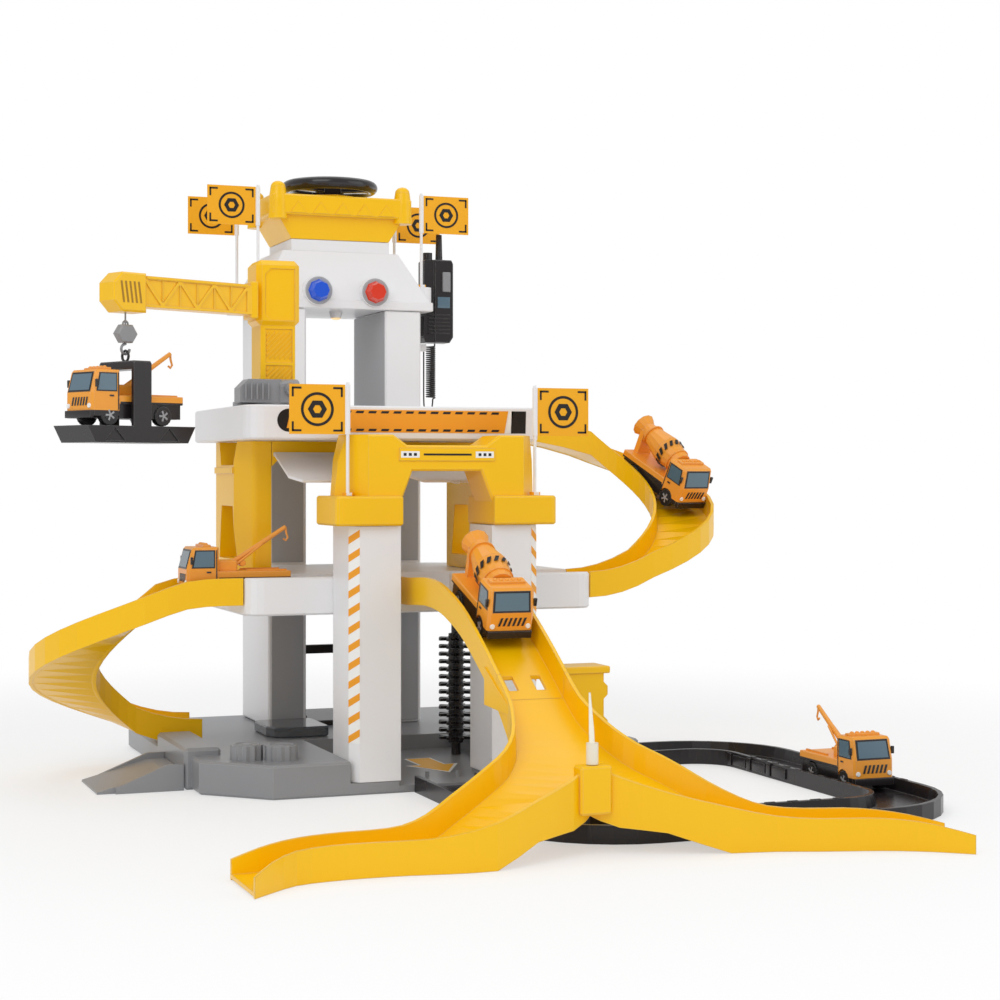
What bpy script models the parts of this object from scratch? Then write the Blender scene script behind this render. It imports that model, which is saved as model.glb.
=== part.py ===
"""A toy parking garage: a lift tower, two decks, a crane, chutes, a road loop and small trucks.

Metres, +Z up. The origin is on the underside of the base, in the middle of the gate's width; +X runs to the
right along the facade and the gate faces -Y.
"""

import math

import bmesh
import bpy
from mathutils import Matrix, Vector

# Gap between pieces that touch, distance at which doubled points weld, and how far a cut runs past its piece
SEAT_GAP = 0.0003
WELD = 0.000001
CUT_OVER = 0.010
FLAT_ANGLE = math.radians(0.6)
SHARP_ANGLE = math.radians(35)

# Base plate
BASE_HALF = 0.160
BASE_FRONT = -0.165
BASE_REAR = 0.167
BASE_CORNER = 0.040
BASE_TOP = 0.016
BASE_EDGE = 0.0015
PLATEAU_TOP = 0.0225
PLATEAU_REAR = -0.045
LANE_FLOOR = 0.005
INNER_LANE_HALF = 0.066
INNER_LANE_REAR = 0.0
PILLAR_LEDGE = 0.008
GATE_LANE_SPARE = 0.001
GUIDE_OVERHANG = 0.005
GUIDE_REACH = 0.020
GUIDE_BLOCK = ((-BASE_HALF - GUIDE_OVERHANG, -BASE_HALF + GUIDE_REACH), (-0.103, -0.010))
GUIDE_BLOCK_TOP = 0.028
GUIDE_BLOCK_EDGE = 0.002
BOLLARD_RADIUS = 0.011
BOLLARD_RISE = 0.010
BOLLARD_ROOT = 0.002
BOLLARD_FLUTES = 12
FLUTE_DEPTH = 0.0012
BOLLARD_PLACES = ((-0.129, -0.130), (-0.108, -0.140))
LANE_PEGS = ((-0.004, -0.136), (0.017, -0.139))
LANE_PEG_RADIUS = 0.0015
LANE_PEG_RISE = 0.004
LANE_PEG_ROOT = 0.001

# Decks
STOREY_RISE = 0.117
DECK_HALF = 0.127
DECK_FRONT = -0.122
DECK_SIDE_REAR = 0.044
DECK_CORNER = 0.012
DECK_EDGE = 0.0012
DECK_REAR_FLARE = 0.004
DECK_1_TOP = 0.1425
DECK_1_THICK = 0.0255
DECK_2_TOP = DECK_1_TOP + STOREY_RISE
DECK_2_THICK = 0.0235
DECK_2_RIGHT = 0.087
REAR_LANE_START_X = 0.0

# Lanes and chutes
CHUTE_WIDTH = 0.046
CHUTE_WALL = 0.0023
CHUTE_RISE = 0.0155
CHUTE_SHEET = 0.0025
CHUTE_DRAFT = 0.0008
CHUTE_SKIRT = 0.0005
LANE_WIDTH = CHUTE_WIDTH - 2 * CHUTE_WALL
FRONT_LANE_Y = -0.091
CHUTE_TURN_RADIUS = 0.057
CHUTE_RUN = 0.051
CHUTE_TURN_X = DECK_HALF + CHUTE_RUN
REAR_LANE_Y = FRONT_LANE_Y + 2 * CHUTE_TURN_RADIUS
LANE_LEVEL_1 = DECK_1_TOP - CHUTE_RISE
LANE_LEVEL_2 = DECK_2_TOP - CHUTE_RISE
LEFT_TURN_TOP = 0.1215
LEFT_TURN_FOOT = 0.0295
LEFT_END_X = 0.130
RIGHT_TURN_TOP = 0.2305
RIGHT_TURN_FOOT = 0.1405
LEFT_EASE = 4
RIGHT_EASE = 2

# Gate
PILLAR_INNER = 0.0324
PILLAR_OUTER = 0.067
PILLAR_FRONT = BASE_FRONT
PILLAR_DEPTH = 0.0427
PILLAR_TOP = 0.178
PILLAR_CHAMFER = 0.006
ARCH_CAP_CORNER = 0.004
ARCH_LAP = 0.004
ARCH_EDGE = 0.0012
ARCH_HUMP_X = (0.038, 0.066)
ARCH_MIDDLE_HALF = 0.028
SIGN_HALF = 0.034
SIGN_Z = (0.2215, 0.2300)
SIGN_RISE = 0.0008
ARCH_CAP_TOP = 0.198
ARCH_CAP_HALF = 0.0785
ARCH_CAP_FRONT = -0.170
ARCH_CAP_REAR = -0.118
ARCH_FRONT = -0.166
ARCH_REAR = -0.1305
ARCH_SHOULDER = 0.072
ARCH_SHOULDER_TOP = 0.222
ARCH_SHOULDER_LEAN = 0.002
ARCH_TOP = 0.232
ARCH_HUMP_TOP = 0.239
ARCH_OPENING_TOP = 0.2147
ARCH_OPENING_HALF = 0.0245
ARCH_NOTCH = ((0.054, -0.168), (0.074, -0.138))
FLAG_POLE_RADIUS = 0.0012
FLAG_POLE_TIP = 0.0015
FLAG_SLEEVE_RADIUS = 0.0018
FLAG_THICK = 0.0008
FLAG_SEAT_RADIUS = 0.0038
FLAG_SEAT_RISE = 0.002
GATE_FLAG_X = 0.067
GATE_FLAG_Y = -0.157
GATE_FLAG_TOP = 0.272
GATE_FLAG_SIZE = (0.040, 0.033)

# Upper storey between the decks
WALL_OUTER = 0.118
WALL_REAR = 0.008
WALL_FRONT = -0.069
WALL_LEFT_DOOR_SIDE = -0.0963
WALL_RIGHT_OUTER = 0.075
WALL_RIGHT_DOOR_SIDE = 0.0553
WALL_THICK = 0.014
WALL_TURN = 0.022
WALL_CORNER = 0.004
WALL_TURN_STEP = 0.004
WALL_FRONT_INSET = 0.009
SILL_Z = (0.213, 0.2175)
SILL_RISE = 0.0012
SILL_LAP = 0.002
UPPER_WINDOW = ((-0.052, 0.240), (-0.002, 0.240), (-0.008, 0.219), (-0.046, 0.219))
LOWER_WINDOW = ((-0.044, 0.190), (-0.010, 0.190), (-0.003, 0.1525), (-0.051, 0.1525))
DOOR_POST = (-0.031, -0.009)
DOOR_BEAM_DEPTH = 0.012
DOOR_BEAM_DROP = 0.009
DOOR_HEAD = DECK_2_TOP - DECK_2_THICK - DOOR_BEAM_DROP
DOOR_CORNER = 0.009
DOOR_HINGE_DROP = 0.0005
DOOR_HINGE_Z = DOOR_HEAD - DOOR_HINGE_DROP
DOOR_LENGTH = 0.0505
DOOR_THICK = 0.002
DOOR_BARREL = 0.0015
DOOR_RIB = 0.001
DOOR_RING_RADIUS = 0.003
DOOR_RING_TUBE = 0.0007
DOOR_OPEN_TILT = math.radians(22)
DOOR_SIDE_GAP = 0.001
DOOR_CHAMFER = 0.008

# Lift tower
COLUMN_INNER = 0.032
COLUMN_OUTER = 0.062
COLUMN_FRONT = 0.0723
COLUMN_REAR = 0.157
HEAD_FOOT = 0.342
HEAD_LIP = 0.007
HEAD_LIP_HALF = 0.072
HEAD_FRONT = 0.071
HEAD_REAR = 0.171
HEAD_TOP = 0.388
HEAD_TOP_HALF = 0.047
HEAD_TOP_FRONT = 0.086
HEAD_TOP_REAR = 0.156
NECK_HALF = 0.040
NECK_TOP = 0.397
SOCKET_RADIUS = 0.008
SOCKET_X = 0.067
SOCKET_Y = (0.086, 0.156)
SOCKET_TOP = 0.362
TOWER_FLAG_TOP = 0.436
TOWER_FLAG_SIZE = (0.040, 0.030)
TRAY_FOOT = 0.4155
TRAY_RISE = 0.016
TRAY_HALF = 0.057
TRAY_FRONT = 0.080
TRAY_REAR = 0.160
FUNNEL_STEP = 0.005
KNOB_PLACES = ((-0.051, 0.086), (0.051, 0.086), (-0.051, 0.154), (0.051, 0.154))
KNOB_RADIUS = 0.006
KNOB_TOP = 0.4416
KNOB_PROFILE = ((1.0, 0.45), (0.85, 0.75), (0.5, 0.94))
LAMP_X = 0.023
LAMP_Z = 0.3555
LAMP_RADIUS = 0.009
LAMP_SIDES = 8
LAMP_DEPTH = 0.008
LAMP_TAPER = 0.7
BEZEL_RADIUS = 0.0115
BEZEL_FACE = 0.068
WHEEL_CENTRE = (0.0, 0.118)
WHEEL_RIM_RADIUS = 0.0338
WHEEL_RIM_TUBE = 0.0048
WHEEL_HUB_RADIUS = 0.0115
WHEEL_HUB_RISE = 0.0100
WHEEL_RIM_DROP = 0.0027
SPOKE_HALF_WIDTH = 0.0045
SPOKE_FOOT_DROP = (0.0090, 0.0060)
SPOKE_TOP_DROP = (0.0030, 0.0010)
SPOKE_REACH = (0.1, 1.0)
SPOKE_WIDTH = (0.85, 1.3)
WHEEL_RING_RISE = 0.0035
WHEEL_RING_RADIUS = 0.022
CEILING_LAMP_Y = 0.100
CEILING_LAMP_RADIUS = 0.006
CEILING_LAMP_DROP = 0.005
CEILING_LAMP_TAPER = 0.7

# Lift car
CAR_FLOOR = 0.0038
CAR_FRONT = 0.0755
CAR_REAR = 0.155
CAR_FRAME_TOP = 0.073
CAR_BAR = 0.007
CAR_POST = 0.005
CAR_EDGE = 0.0006
CAR_FRAME_INSET = 0.002
CAR_LAP = 0.001
CAR_RAIL_INSET = 0.0002
CAR_RAIL_WIDTH = 0.002
CAR_RAIL_RISE = 0.004
CAR_RAIL_SETBACK = 0.004

# Car-wash brush
BRUSH_CENTRE = (0.052, -0.038)
BRUSH_CORE = 0.0055
BRUSH_CORE_OVER = 0.004
BRUSH_TIP = 0.013
BRUSH_ROOT = 0.0065
PRONG_LEAN = 0.13
BRUSH_PRONGS = 8
BRUSH_ROWS = 14
BRUSH_PITCH = 0.0056
BRUSH_FIRST_ROW = 0.018
BRUSH_ROW_THICK = 0.0022
BRUSH_SHAFT = 0.0035

# Booth and entry ramp
BOOTH_X = (0.094, 0.125)
BOOTH_Y = (-0.150, -0.125)
BOOTH_TOP = 0.078
BOOTH_CAP = 0.005
BOOTH_OVERHANG = 0.0015
BOOTH_NOTCH = 0.003
BOOTH_NOTCH_Z = (0.040, 0.058, 0.064)
COVER_X = (-0.076, -0.030)
COVER_Y = (0.012, 0.066)
COVER_TOP = 0.024
COVER_CORNER = 0.014
COVER_EDGE = 0.001
ENTRY_FLAT = 0.012
ENTRY_RUN = 0.0577
ENTRY_JOIN_X = GUIDE_BLOCK[0][0] - SEAT_GAP
ENTRY_TIP_X = ENTRY_JOIN_X - ENTRY_RUN
ENTRY_Y = (-0.100, -0.038)
ENTRY_RISE = 0.0135
ENTRY_TIP_RISE = 0.0012
ENTRY_KERB_RISE = 0.004
ENTRY_KERB_WIDTH = 0.0028
ENTRY_HOLE_RADIUS = 0.003
ENTRY_HOLE_INSET = 0.0084

# Front chute and fork
FRONT_CHUTE = (
    (-0.1223, 0.1270), (-0.150, 0.1272), (-0.185, 0.1290), (-0.213, 0.1270), (-0.235, 0.1215),
    (-0.255, 0.1145), (-0.273, 0.1055), (-0.297, 0.0915), (-0.319, 0.0775),
)
SLOT_X = 0.009
SLOT_WIDTH = 0.0064
SLOT_Y = (-0.312, -0.300)
SLOT_Z = (0.070, 0.110)
FORK_TRUNK = (
    ((-0.0230, -0.3193), (0.0120, -0.3193), 0.0773, 0.0040),
    ((-0.0235, -0.3380), (0.0120, -0.3380), 0.0655, 0.0080),
    ((-0.0270, -0.3530), (0.0120, -0.3530), 0.0570, 0.0110),
    ((-0.0330, -0.3680), (0.0120, -0.3720), 0.0485, 0.0125),
    ((-0.0420, -0.3790), (0.0100, -0.3880), 0.0410, 0.0125),
    ((-0.0530, -0.3860), (0.0030, -0.4030), 0.0350, 0.0125),
    ((-0.0660, -0.3905), (-0.0140, -0.4150), 0.0275, 0.0125),
    ((-0.0800, -0.3930), (-0.0390, -0.4250), 0.0190, 0.0070),
)
FORK_LEFT_LEG = (
    ((-0.0930, -0.3925), (-0.0660, -0.4340), 0.0100, 0.0100),
    ((-0.1060, -0.3900), (-0.0920, -0.4330), 0.0045, 0.0045),
    ((-0.1220, -0.3890), (-0.1140, -0.4290), 0.0030, 0.0030),
    ((-0.1400, -0.3900), (-0.1370, -0.4275), 0.0030, 0.0030),
    ((-0.1580, -0.3940), (-0.1580, -0.4285), 0.0030, 0.0030),
    ((-0.1750, -0.3990), (-0.1770, -0.4330), 0.0030, 0.0030),
    ((-0.1900, -0.4030), (-0.1930, -0.4460), 0.0030, 0.0030),
    ((-0.2050, -0.4040), (-0.2050, -0.4570), 0.0030, 0.0030),
)
FORK_RIGHT_LEG = (
    ((-0.0970, -0.3990), (-0.0740, -0.4340), 0.0100, 0.0100),
    ((-0.1130, -0.4040), (-0.1000, -0.4390), 0.0045, 0.0045),
    ((-0.1330, -0.4110), (-0.1220, -0.4470), 0.0030, 0.0030),
    ((-0.1550, -0.4180), (-0.1480, -0.4550), 0.0030, 0.0030),
    ((-0.1720, -0.4270), (-0.1660, -0.4620), 0.0030, 0.0030),
    ((-0.1880, -0.4370), (-0.1830, -0.4720), 0.0030, 0.0030),
    ((-0.2060, -0.4440), (-0.2000, -0.4860), 0.0030, 0.0030),
)
FORK_TIP_RISES = (0.95, 0.8, 0.5)
FORK_BLOCK_X = (-0.0095, 0.0095)
FORK_BLOCK_Y = (-0.415, -0.4035)
FORK_BLOCK_TOP = 0.0500
FORK_BLOCK_FOOT = 0.0228
FORK_STEPS = 2
FORK_SHEET = 0.0022
FIN_PIVOT_Y = -0.4085
FIN_PIN_RADIUS = 0.0035
FIN_PIN_RISE = 0.012
FIN_LENGTH = 0.052
FIN_THICK = 0.003
FIN_ROOT = (0.5, 0.0, 0.010)
FIN_MIDDLE = (0.012, 0.0035, 0.017)
FIN_TIP = (0.0245, 0.0345)
FIN_TIP_SHARE = 0.4
FIN_TURN = math.radians(-22)

# Road loop
ROAD_WIDTH = 0.046
ROAD_WALL = 0.003
ROAD_WALL_TOP = 0.011
ROAD_FLOOR = 0.003
ROAD_UNDERSIDE = 0.0012
ROAD_FLARE = 0.002
ROAD_RADIUS = 0.051
ROAD_SIDE_X = 0.252
ROAD_FAR_Y = -0.090
ROAD_BEND_Y = -0.318
ROAD_SPLIT_FRONT = -0.316
ROAD_SPLIT_SIDE = -0.230

# Crane, in its own frame: the slew axis is the origin and the jib points along +X
CRANE_INSET = (0.032, 0.058)
CRANE_AXIS = (CRANE_INSET[0] - DECK_HALF, CRANE_INSET[1] + DECK_FRONT)
JIB_ANGLE = math.radians(204.5)
TURNTABLE_RADIUS = 0.027
TURNTABLE_RISE = 0.0032
HOUSING_X = (-0.029, 0.0)
HOUSING_Y = (-0.028, -0.010)
HOUSING_TOP = 0.278
HOUSING_CHAMFER = 0.006
DRUM_COVER_X = (-0.001, 0.013)
DRUM_COVER_TOP = 0.2785
DRUM_COVER_CROWN = 0.6
MAST_X = (-0.010, 0.015)
MAST_Y = (-0.008, 0.017)
MAST_TOP = 0.316
JIB_LIFT = 0.007
JIB_DEPTH = 0.020
JIB_FOOT = MAST_TOP + JIB_LIFT
JIB_TOP = JIB_FOOT + JIB_DEPTH
CRANE_HEAD_X = (-0.013, 0.018)
CRANE_HEAD_Y = (-0.011, 0.020)
CRANE_HEAD_RISE = 0.019
CRANE_HEAD_TOP = JIB_TOP + CRANE_HEAD_RISE
CRANE_HEAD_EDGE = 0.0035
PANEL_RIM = 0.002
PANEL_DEPTH = 0.0008
COLLAR_X = (-0.019, -0.0133)
COLLAR_Y = (-0.016, 0.0045)
COLLAR_OVER = (0.0025, 0.003)
COLLAR_Z = (JIB_FOOT - COLLAR_OVER[0], JIB_TOP + COLLAR_OVER[1])
JIB_HALF = 0.007
JIB_START = 0.004
TRUSS_START = 0.0265
TRUSS_BAYS = 6
TRUSS_BAR = 0.0018
TRUSS_DEPTH = 0.0009
TIP_BLOCK_START = 0.112
TIP_BLOCK_END = 0.138
TIP_BLOCK_HALF = 0.009
TIP_BLOCK_OVER = (0.004, 0.002)
TIP_BLOCK_FOOT = JIB_FOOT - TIP_BLOCK_OVER[0]
TIP_BLOCK_TOP = JIB_TOP + TIP_BLOCK_OVER[1]
TIP_BLOCK_CHAMFER = 0.007
HOOK_REACH = 0.123
STRING_RADIUS = 0.0006
STRING_BORE = STRING_RADIUS + SEAT_GAP
STRING_INSET = 0.004
STRING_TOP = TIP_BLOCK_TOP - STRING_INSET
HOIST_DROP = 0.008
BLOCK_TOP = TIP_BLOCK_FOOT - HOIST_DROP
BLOCK_RISE = 0.012
BLOCK_FOOT = BLOCK_TOP - BLOCK_RISE
BLOCK_RADIUS = 0.008
BLOCK_THICK = 0.0065
HOOK_DROP = 0.004
HOOK_BEND_Z = BLOCK_FOOT - HOOK_DROP
HOOK_BEND_RADIUS = 0.0033
HOOK_TUBE = 0.001
HOOK_EYE_SHARE = 0.7
RING_RADIUS = 0.0036
RING_TUBE = 0.0009
RING_SINK = 0.0008
RING_Z = HOOK_BEND_Z - HOOK_BEND_RADIUS + HOOK_TUBE + SEAT_GAP + RING_TUBE - RING_RADIUS
WINCH_KNOB_X = 0.007
WINCH_KNOB_Z = 0.271
WINCH_KNOB_RADIUS = 0.0052
WINCH_KNOB_LENGTH = 0.0045
WINCH_KNOB_TAPER = 0.85
WINCH_GRIP_SHARE = 0.7

# Handset
HANDSET_X = (0.0724, 0.097)
HANDSET_SEAM_X = 0.082
HANDSET_EDGE = 0.0015
HANDSET_Y = (0.0935, 0.1105)
HANDSET_Z = (0.319, 0.386)
HANDSET_CLIP_X = COLUMN_OUTER + SEAT_GAP
HANDSET_CLIP_Z = (0.324, 0.340)
AERIAL_RADIUS = 0.003
AERIAL_TAPER = 0.8
AERIAL_TOP = 0.407
AERIAL_X = 0.0875
DIAL_RADIUS = 0.0038
DIAL_X = 0.0778
DIAL_RISE = 0.006
BUTTON_X = (0.0875, 0.0940)
BUTTON_Z = (0.360, 0.376)
BUTTON_PROUD = 0.002
BUTTON_TRAVEL = 0.0015
BUTTON_POCKET = 0.0035

# Curly cord: from the handset's underside down the coil, round the bend and up to the column clip
CURL_COUNT = 25
CURL_STEPS = 8
CURL_RADIUS = 0.0034
CORD_RADIUS = 0.0006
CURL_AXIS = (0.0805, 0.102)
CURL_TOP = 0.3165
CURL_FOOT = 0.2747
CORD_STUB = 0.0014
CORD_ROUTE = (
    (0.0831, 0.1044, 0.2737), (0.0829, 0.1046, 0.2700), (0.0818, 0.1036, 0.2655), (0.0794, 0.1026, 0.2624),
    (0.0764, 0.1020, 0.2632), (0.0749, 0.1020, 0.2675), (0.0745, 0.1020, 0.2760), (0.0745, 0.1020, 0.2900),
    (0.0745, 0.1020, 0.3050),
)
CORD_END_Z = 0.3120
ANCHOR_X = 0.0757
ANCHOR_HALF = 0.003
ANCHOR_Z = (CORD_END_Z + SEAT_GAP, 0.3178)

# Trucks, in their own frame: on the ground, +X forward
TRUCK_FRONT = 0.036
TRUCK_REAR = -0.036
TRUCK_HALF = 0.015
TRUCK_TOP = 0.036
TRUCK_SILL = 0.0045
TRUCK_DECK = 0.0195
CHASSIS_HALF = 0.0135
CHASSIS_TOP = 0.0155
CAB_REAR = 0.014
CAB_WAIST = 0.021
CAB_RAKE = 0.0035
CAB_EDGE = 0.0016
LAMP_BAR_X = (0.019, 0.0245)
LAMP_BAR_RISE = 0.0016
TYRE_RADIUS = 0.0065
TYRE_WIDTH = 0.005
TYRE_SIDES = 14
ARCH_CLEARANCE = 0.0011
AXLE_RADIUS = 0.0012
AXLE_X = (0.022, -0.020)
TYRE_FACE = 0.0145
BOOM_FOOT = (0.008, 0.0205)
BOOM_TIP = (-0.036, 0.049)
BOOM_RADIUS = 0.0021
BOOM_TAPER = 0.7
BOOM_HOOK_SHARE = 0.36
BOOM_BOX_SHARE = 0.7
BOOM_HOOK = ((0.0, 0.0), (-0.0004, -0.0040), (-0.0016, -0.0075), (-0.0002, -0.0095), (0.0016, -0.0082))
DRUM_RADIUS = 0.0118
DRUM_START = (0.0125, 0.0300)
DRUM_END = (-0.0335, 0.0385)
DRUM_BULGE = 0.42
DRUM_LAP = 0.02
DRUM_FRONT_SHARE = 0.75
DRUM_REAR_SHARE = 0.5
HOPPER_SPAN = (0.94, 1.12)
HOPPER_SHARES = (0.45, 0.8)

# Hanging pallet, measured down from the ring on the hook; the truck on it clears the bar
PALLET_HALF_LENGTH = 0.0425
PALLET_HALF_WIDTH = 0.0195
PALLET_RISE = 0.011
PALLET_END_SLOPE = 0.006
PALLET_POST_HALF = 0.007
PALLET_POST_THICK = 0.0026
PALLET_BAR_RISE = 0.0056
PALLET_HEADROOM = 0.001
PALLET_BAR_TOP = RING_Z - RING_RADIUS - RING_TUBE + RING_SINK
PALLET_BAR_FOOT = PALLET_BAR_TOP - PALLET_BAR_RISE
PALLET_FOOT = PALLET_BAR_FOOT - PALLET_HEADROOM - TRUCK_TOP - PALLET_RISE
PALLET_POCKET_DEPTH = 0.001

# Where the trucks stand
TOW_DECK_OVERHANG = 0.001
TOW_DECK_X = -DECK_HALF - TOW_DECK_OVERHANG
TOW_ROAD_Y = -0.258
MIXER_TURN = math.radians(18)
MIXER_TURN_RADIUS = 0.052
MIXER_TURN_LEVEL = 0.1987
MIXER_TURN_PITCH = math.radians(26.7)
MIXER_FRONT_PLACE = (-0.244, 0.1185)
MIXER_FRONT_PITCH = math.radians(19)

# Colours as (red, green, blue), with roughness
YELLOW = ((0.92, 0.55, 0.0), 0.32)
WHITE = ((0.86, 0.86, 0.86), 0.35)
GRAY = ((0.17, 0.17, 0.18), 0.4)
BLACK = ((0.018, 0.015, 0.017), 0.3)
ORANGE = ((0.90, 0.36, 0.05), 0.35)
FLAG_ORANGE = ((0.93, 0.48, 0.01), 0.5)
IVORY = ((0.90, 0.85, 0.76), 0.35)
BLUE = ((0.01, 0.10, 0.80), 0.15)
RED = ((0.85, 0.06, 0.01), 0.15)
SMOKE = ((0.20, 0.21, 0.23), 0.15)

for old in list(bpy.data.objects):
    bpy.data.objects.remove(old)


def new_collection(name):
    made = bpy.data.collections.new(name)
    bpy.context.scene.collection.children.link(made)
    return made


GARAGE = new_collection("toy_parking_garage")
CUTTERS = new_collection("cutters")


def new_material(name, colour):
    material = bpy.data.materials.new(name)
    material.use_nodes = True
    shader = material.node_tree.nodes["Principled BSDF"]
    shader.inputs["Base Color"].default_value = (*colour[0], 1.0)
    shader.inputs["Roughness"].default_value = colour[1]
    shader.inputs["Metallic"].default_value = 0.0
    return material


def box(x, y, z, edge=0.0):
    """A block between the given limits, with an optional chamfer on its edges."""
    shape = bmesh.new()
    bmesh.ops.create_cube(shape, size=1.0)
    bmesh.ops.scale(shape, vec=(x[1] - x[0], y[1] - y[0], z[1] - z[0]), verts=shape.verts)
    centre = [(low + high) / 2 for low, high in (x, y, z)]
    bmesh.ops.translate(shape, vec=centre, verts=shape.verts)
    if edge:
        bmesh.ops.bevel(shape, geom=list(shape.edges), offset=edge, segments=1, profile=0.5, affect="EDGES")
    return shape


def rod(start, end, radius, sides=16, end_radius=None):
    """A straight round bar or cone from start to end."""
    start = Vector(start)
    end = Vector(end)
    axis = end - start
    shape = bmesh.new()
    bmesh.ops.create_cone(
        shape, cap_ends=True, segments=sides, radius1=radius,
        radius2=radius if end_radius is None else end_radius, depth=axis.length,
    )
    turn = Vector((0, 0, 1)).rotation_difference(axis).to_matrix().to_4x4()
    bmesh.ops.transform(shape, matrix=Matrix.Translation((start + end) / 2) @ turn, verts=shape.verts)
    return shape


PLANES = {
    "XY": Matrix.Identity(4),
    "XZ": Matrix(((1, 0, 0, 0), (0, 0, -1, 0), (0, 1, 0, 0), (0, 0, 0, 1))),
    "YZ": Matrix(((0, 0, 1, 0), (1, 0, 0, 0), (0, 1, 0, 0), (0, 0, 0, 1))),
}


def prism(outline, span, plane="XY", edge=0.0):
    """A filled outline extruded over span along the plane's normal, with optional chamfered rims."""
    curve = bpy.data.curves.new("outline", "CURVE")
    curve.dimensions = "2D"
    curve.fill_mode = "BOTH"
    curve.extrude = abs(span[1] - span[0]) / 2
    spline = curve.splines.new("POLY")
    spline.points.add(len(outline) - 1)
    for point, place in zip(spline.points, outline):
        point.co = (place[0], place[1], 0, 1)
    spline.use_cyclic_u = True
    guide = bpy.data.objects.new("outline", curve)
    bpy.context.scene.collection.objects.link(guide)
    flat = bpy.data.meshes.new_from_object(guide.evaluated_get(bpy.context.evaluated_depsgraph_get()))
    bpy.data.objects.remove(guide)
    shape = bmesh.new()
    shape.from_mesh(flat)
    bmesh.ops.remove_doubles(shape, verts=shape.verts, dist=WELD)
    bmesh.ops.dissolve_limit(shape, angle_limit=FLAT_ANGLE, verts=shape.verts, edges=shape.edges)
    if edge:
        rims = [e for e in shape.edges if abs(e.verts[0].co.z - e.verts[1].co.z) < WELD]
        bmesh.ops.bevel(shape, geom=rims, offset=edge, segments=1, profile=0.5, affect="EDGES")
    middle = (span[0] + span[1]) / 2
    if plane == "XZ":
        middle = -middle
    bmesh.ops.translate(shape, vec=(0, 0, middle), verts=shape.verts)
    bmesh.ops.transform(shape, matrix=PLANES[plane], verts=shape.verts)
    bmesh.ops.recalc_face_normals(shape, faces=shape.faces)
    return shape


def rounded(corners, steps=4):
    """An outline from (x, y, radius) corners, each radius drawn as an arc of a few points."""
    outline = []
    count = len(corners)
    for index, (x, y, radius) in enumerate(corners):
        here = Vector((x, y))
        if radius == 0:
            outline.append((x, y))
            continue
        back = (Vector(corners[index - 1][:2]) - here).normalized()
        ahead = (Vector(corners[(index + 1) % count][:2]) - here).normalized()
        half = back.angle(ahead) / 2
        reach = radius / math.tan(half)
        centre = here + (back + ahead).normalized() * (radius / math.sin(half))
        first = here + back * reach - centre
        last = here + ahead * reach - centre
        sweep = first.angle_signed(last)
        for step in range(steps + 1):
            turned = Matrix.Rotation(-sweep * step / steps, 2) @ first
            outline.append(tuple(centre + turned))
    return outline


def turned(profile, centre, sides=24):
    """A profile of (radius, height) points spun round a vertical axis."""
    shape = bmesh.new()
    points = [shape.verts.new((radius, 0, height)) for radius, height in profile]
    edges = [shape.edges.new(pair) for pair in zip(points, points[1:])]
    bmesh.ops.spin(
        shape, geom=points + edges, cent=(0, 0, 0), axis=(0, 0, 1), angle=math.tau, steps=sides,
        use_merge=True,
    )
    bmesh.ops.remove_doubles(shape, verts=shape.verts, dist=WELD)
    bmesh.ops.translate(shape, vec=centre, verts=shape.verts)
    bmesh.ops.recalc_face_normals(shape, faces=shape.faces)
    return shape


def ring(centre, radius, tube, axis="Z", steps=16, sides=6):
    """A plain round ring with its hole along the given axis."""
    shape = bmesh.new()
    circle = []
    for index in range(sides):
        angle = math.tau * index / sides
        circle.append(shape.verts.new((radius + tube * math.cos(angle), 0, tube * math.sin(angle))))
    edges = [shape.edges.new(pair) for pair in zip(circle, circle[1:] + circle[:1])]
    bmesh.ops.spin(
        shape, geom=circle + edges, cent=(0, 0, 0), axis=(0, 0, 1), angle=math.tau, steps=steps,
        use_merge=True,
    )
    bmesh.ops.remove_doubles(shape, verts=shape.verts, dist=WELD)
    if axis == "X":
        bmesh.ops.transform(shape, matrix=Matrix.Rotation(math.pi / 2, 4, "Y"), verts=shape.verts)
    if axis == "Y":
        bmesh.ops.transform(shape, matrix=Matrix.Rotation(math.pi / 2, 4, "X"), verts=shape.verts)
    bmesh.ops.translate(shape, vec=centre, verts=shape.verts)
    bmesh.ops.recalc_face_normals(shape, faces=shape.faces)
    return shape


def tube(points, radius, resolution=1):
    """A round bar along points: a curve with a bevel and filled caps, made a mesh."""
    curve = bpy.data.curves.new("tube", "CURVE")
    curve.dimensions = "3D"
    curve.bevel_depth = radius
    curve.bevel_resolution = resolution
    curve.use_fill_caps = True
    spline = curve.splines.new("POLY")
    spline.points.add(len(points) - 1)
    for point, place in zip(spline.points, points):
        point.co = (*place, 1)
    guide = bpy.data.objects.new("tube", curve)
    bpy.context.scene.collection.objects.link(guide)
    made = bpy.data.meshes.new_from_object(guide.evaluated_get(bpy.context.evaluated_depsgraph_get()))
    bpy.data.objects.remove(guide)
    shape = bmesh.new()
    shape.from_mesh(made)
    bmesh.ops.remove_doubles(shape, verts=shape.verts, dist=WELD)
    bmesh.ops.recalc_face_normals(shape, faces=shape.faces)
    return shape


def loft(sections):
    """A closed body through sections that have the same number of corners, with flat ends."""
    shape = bmesh.new()
    rows = [[shape.verts.new(corner) for corner in section] for section in sections]
    count = len(rows[0])
    for near, far in zip(rows, rows[1:]):
        for index in range(count):
            after = (index + 1) % count
            shape.faces.new((near[index], near[after], far[after], far[index]))
    shape.faces.new(reversed(rows[0]))
    shape.faces.new(rows[-1])
    bmesh.ops.recalc_face_normals(shape, faces=shape.faces)
    return shape


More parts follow.
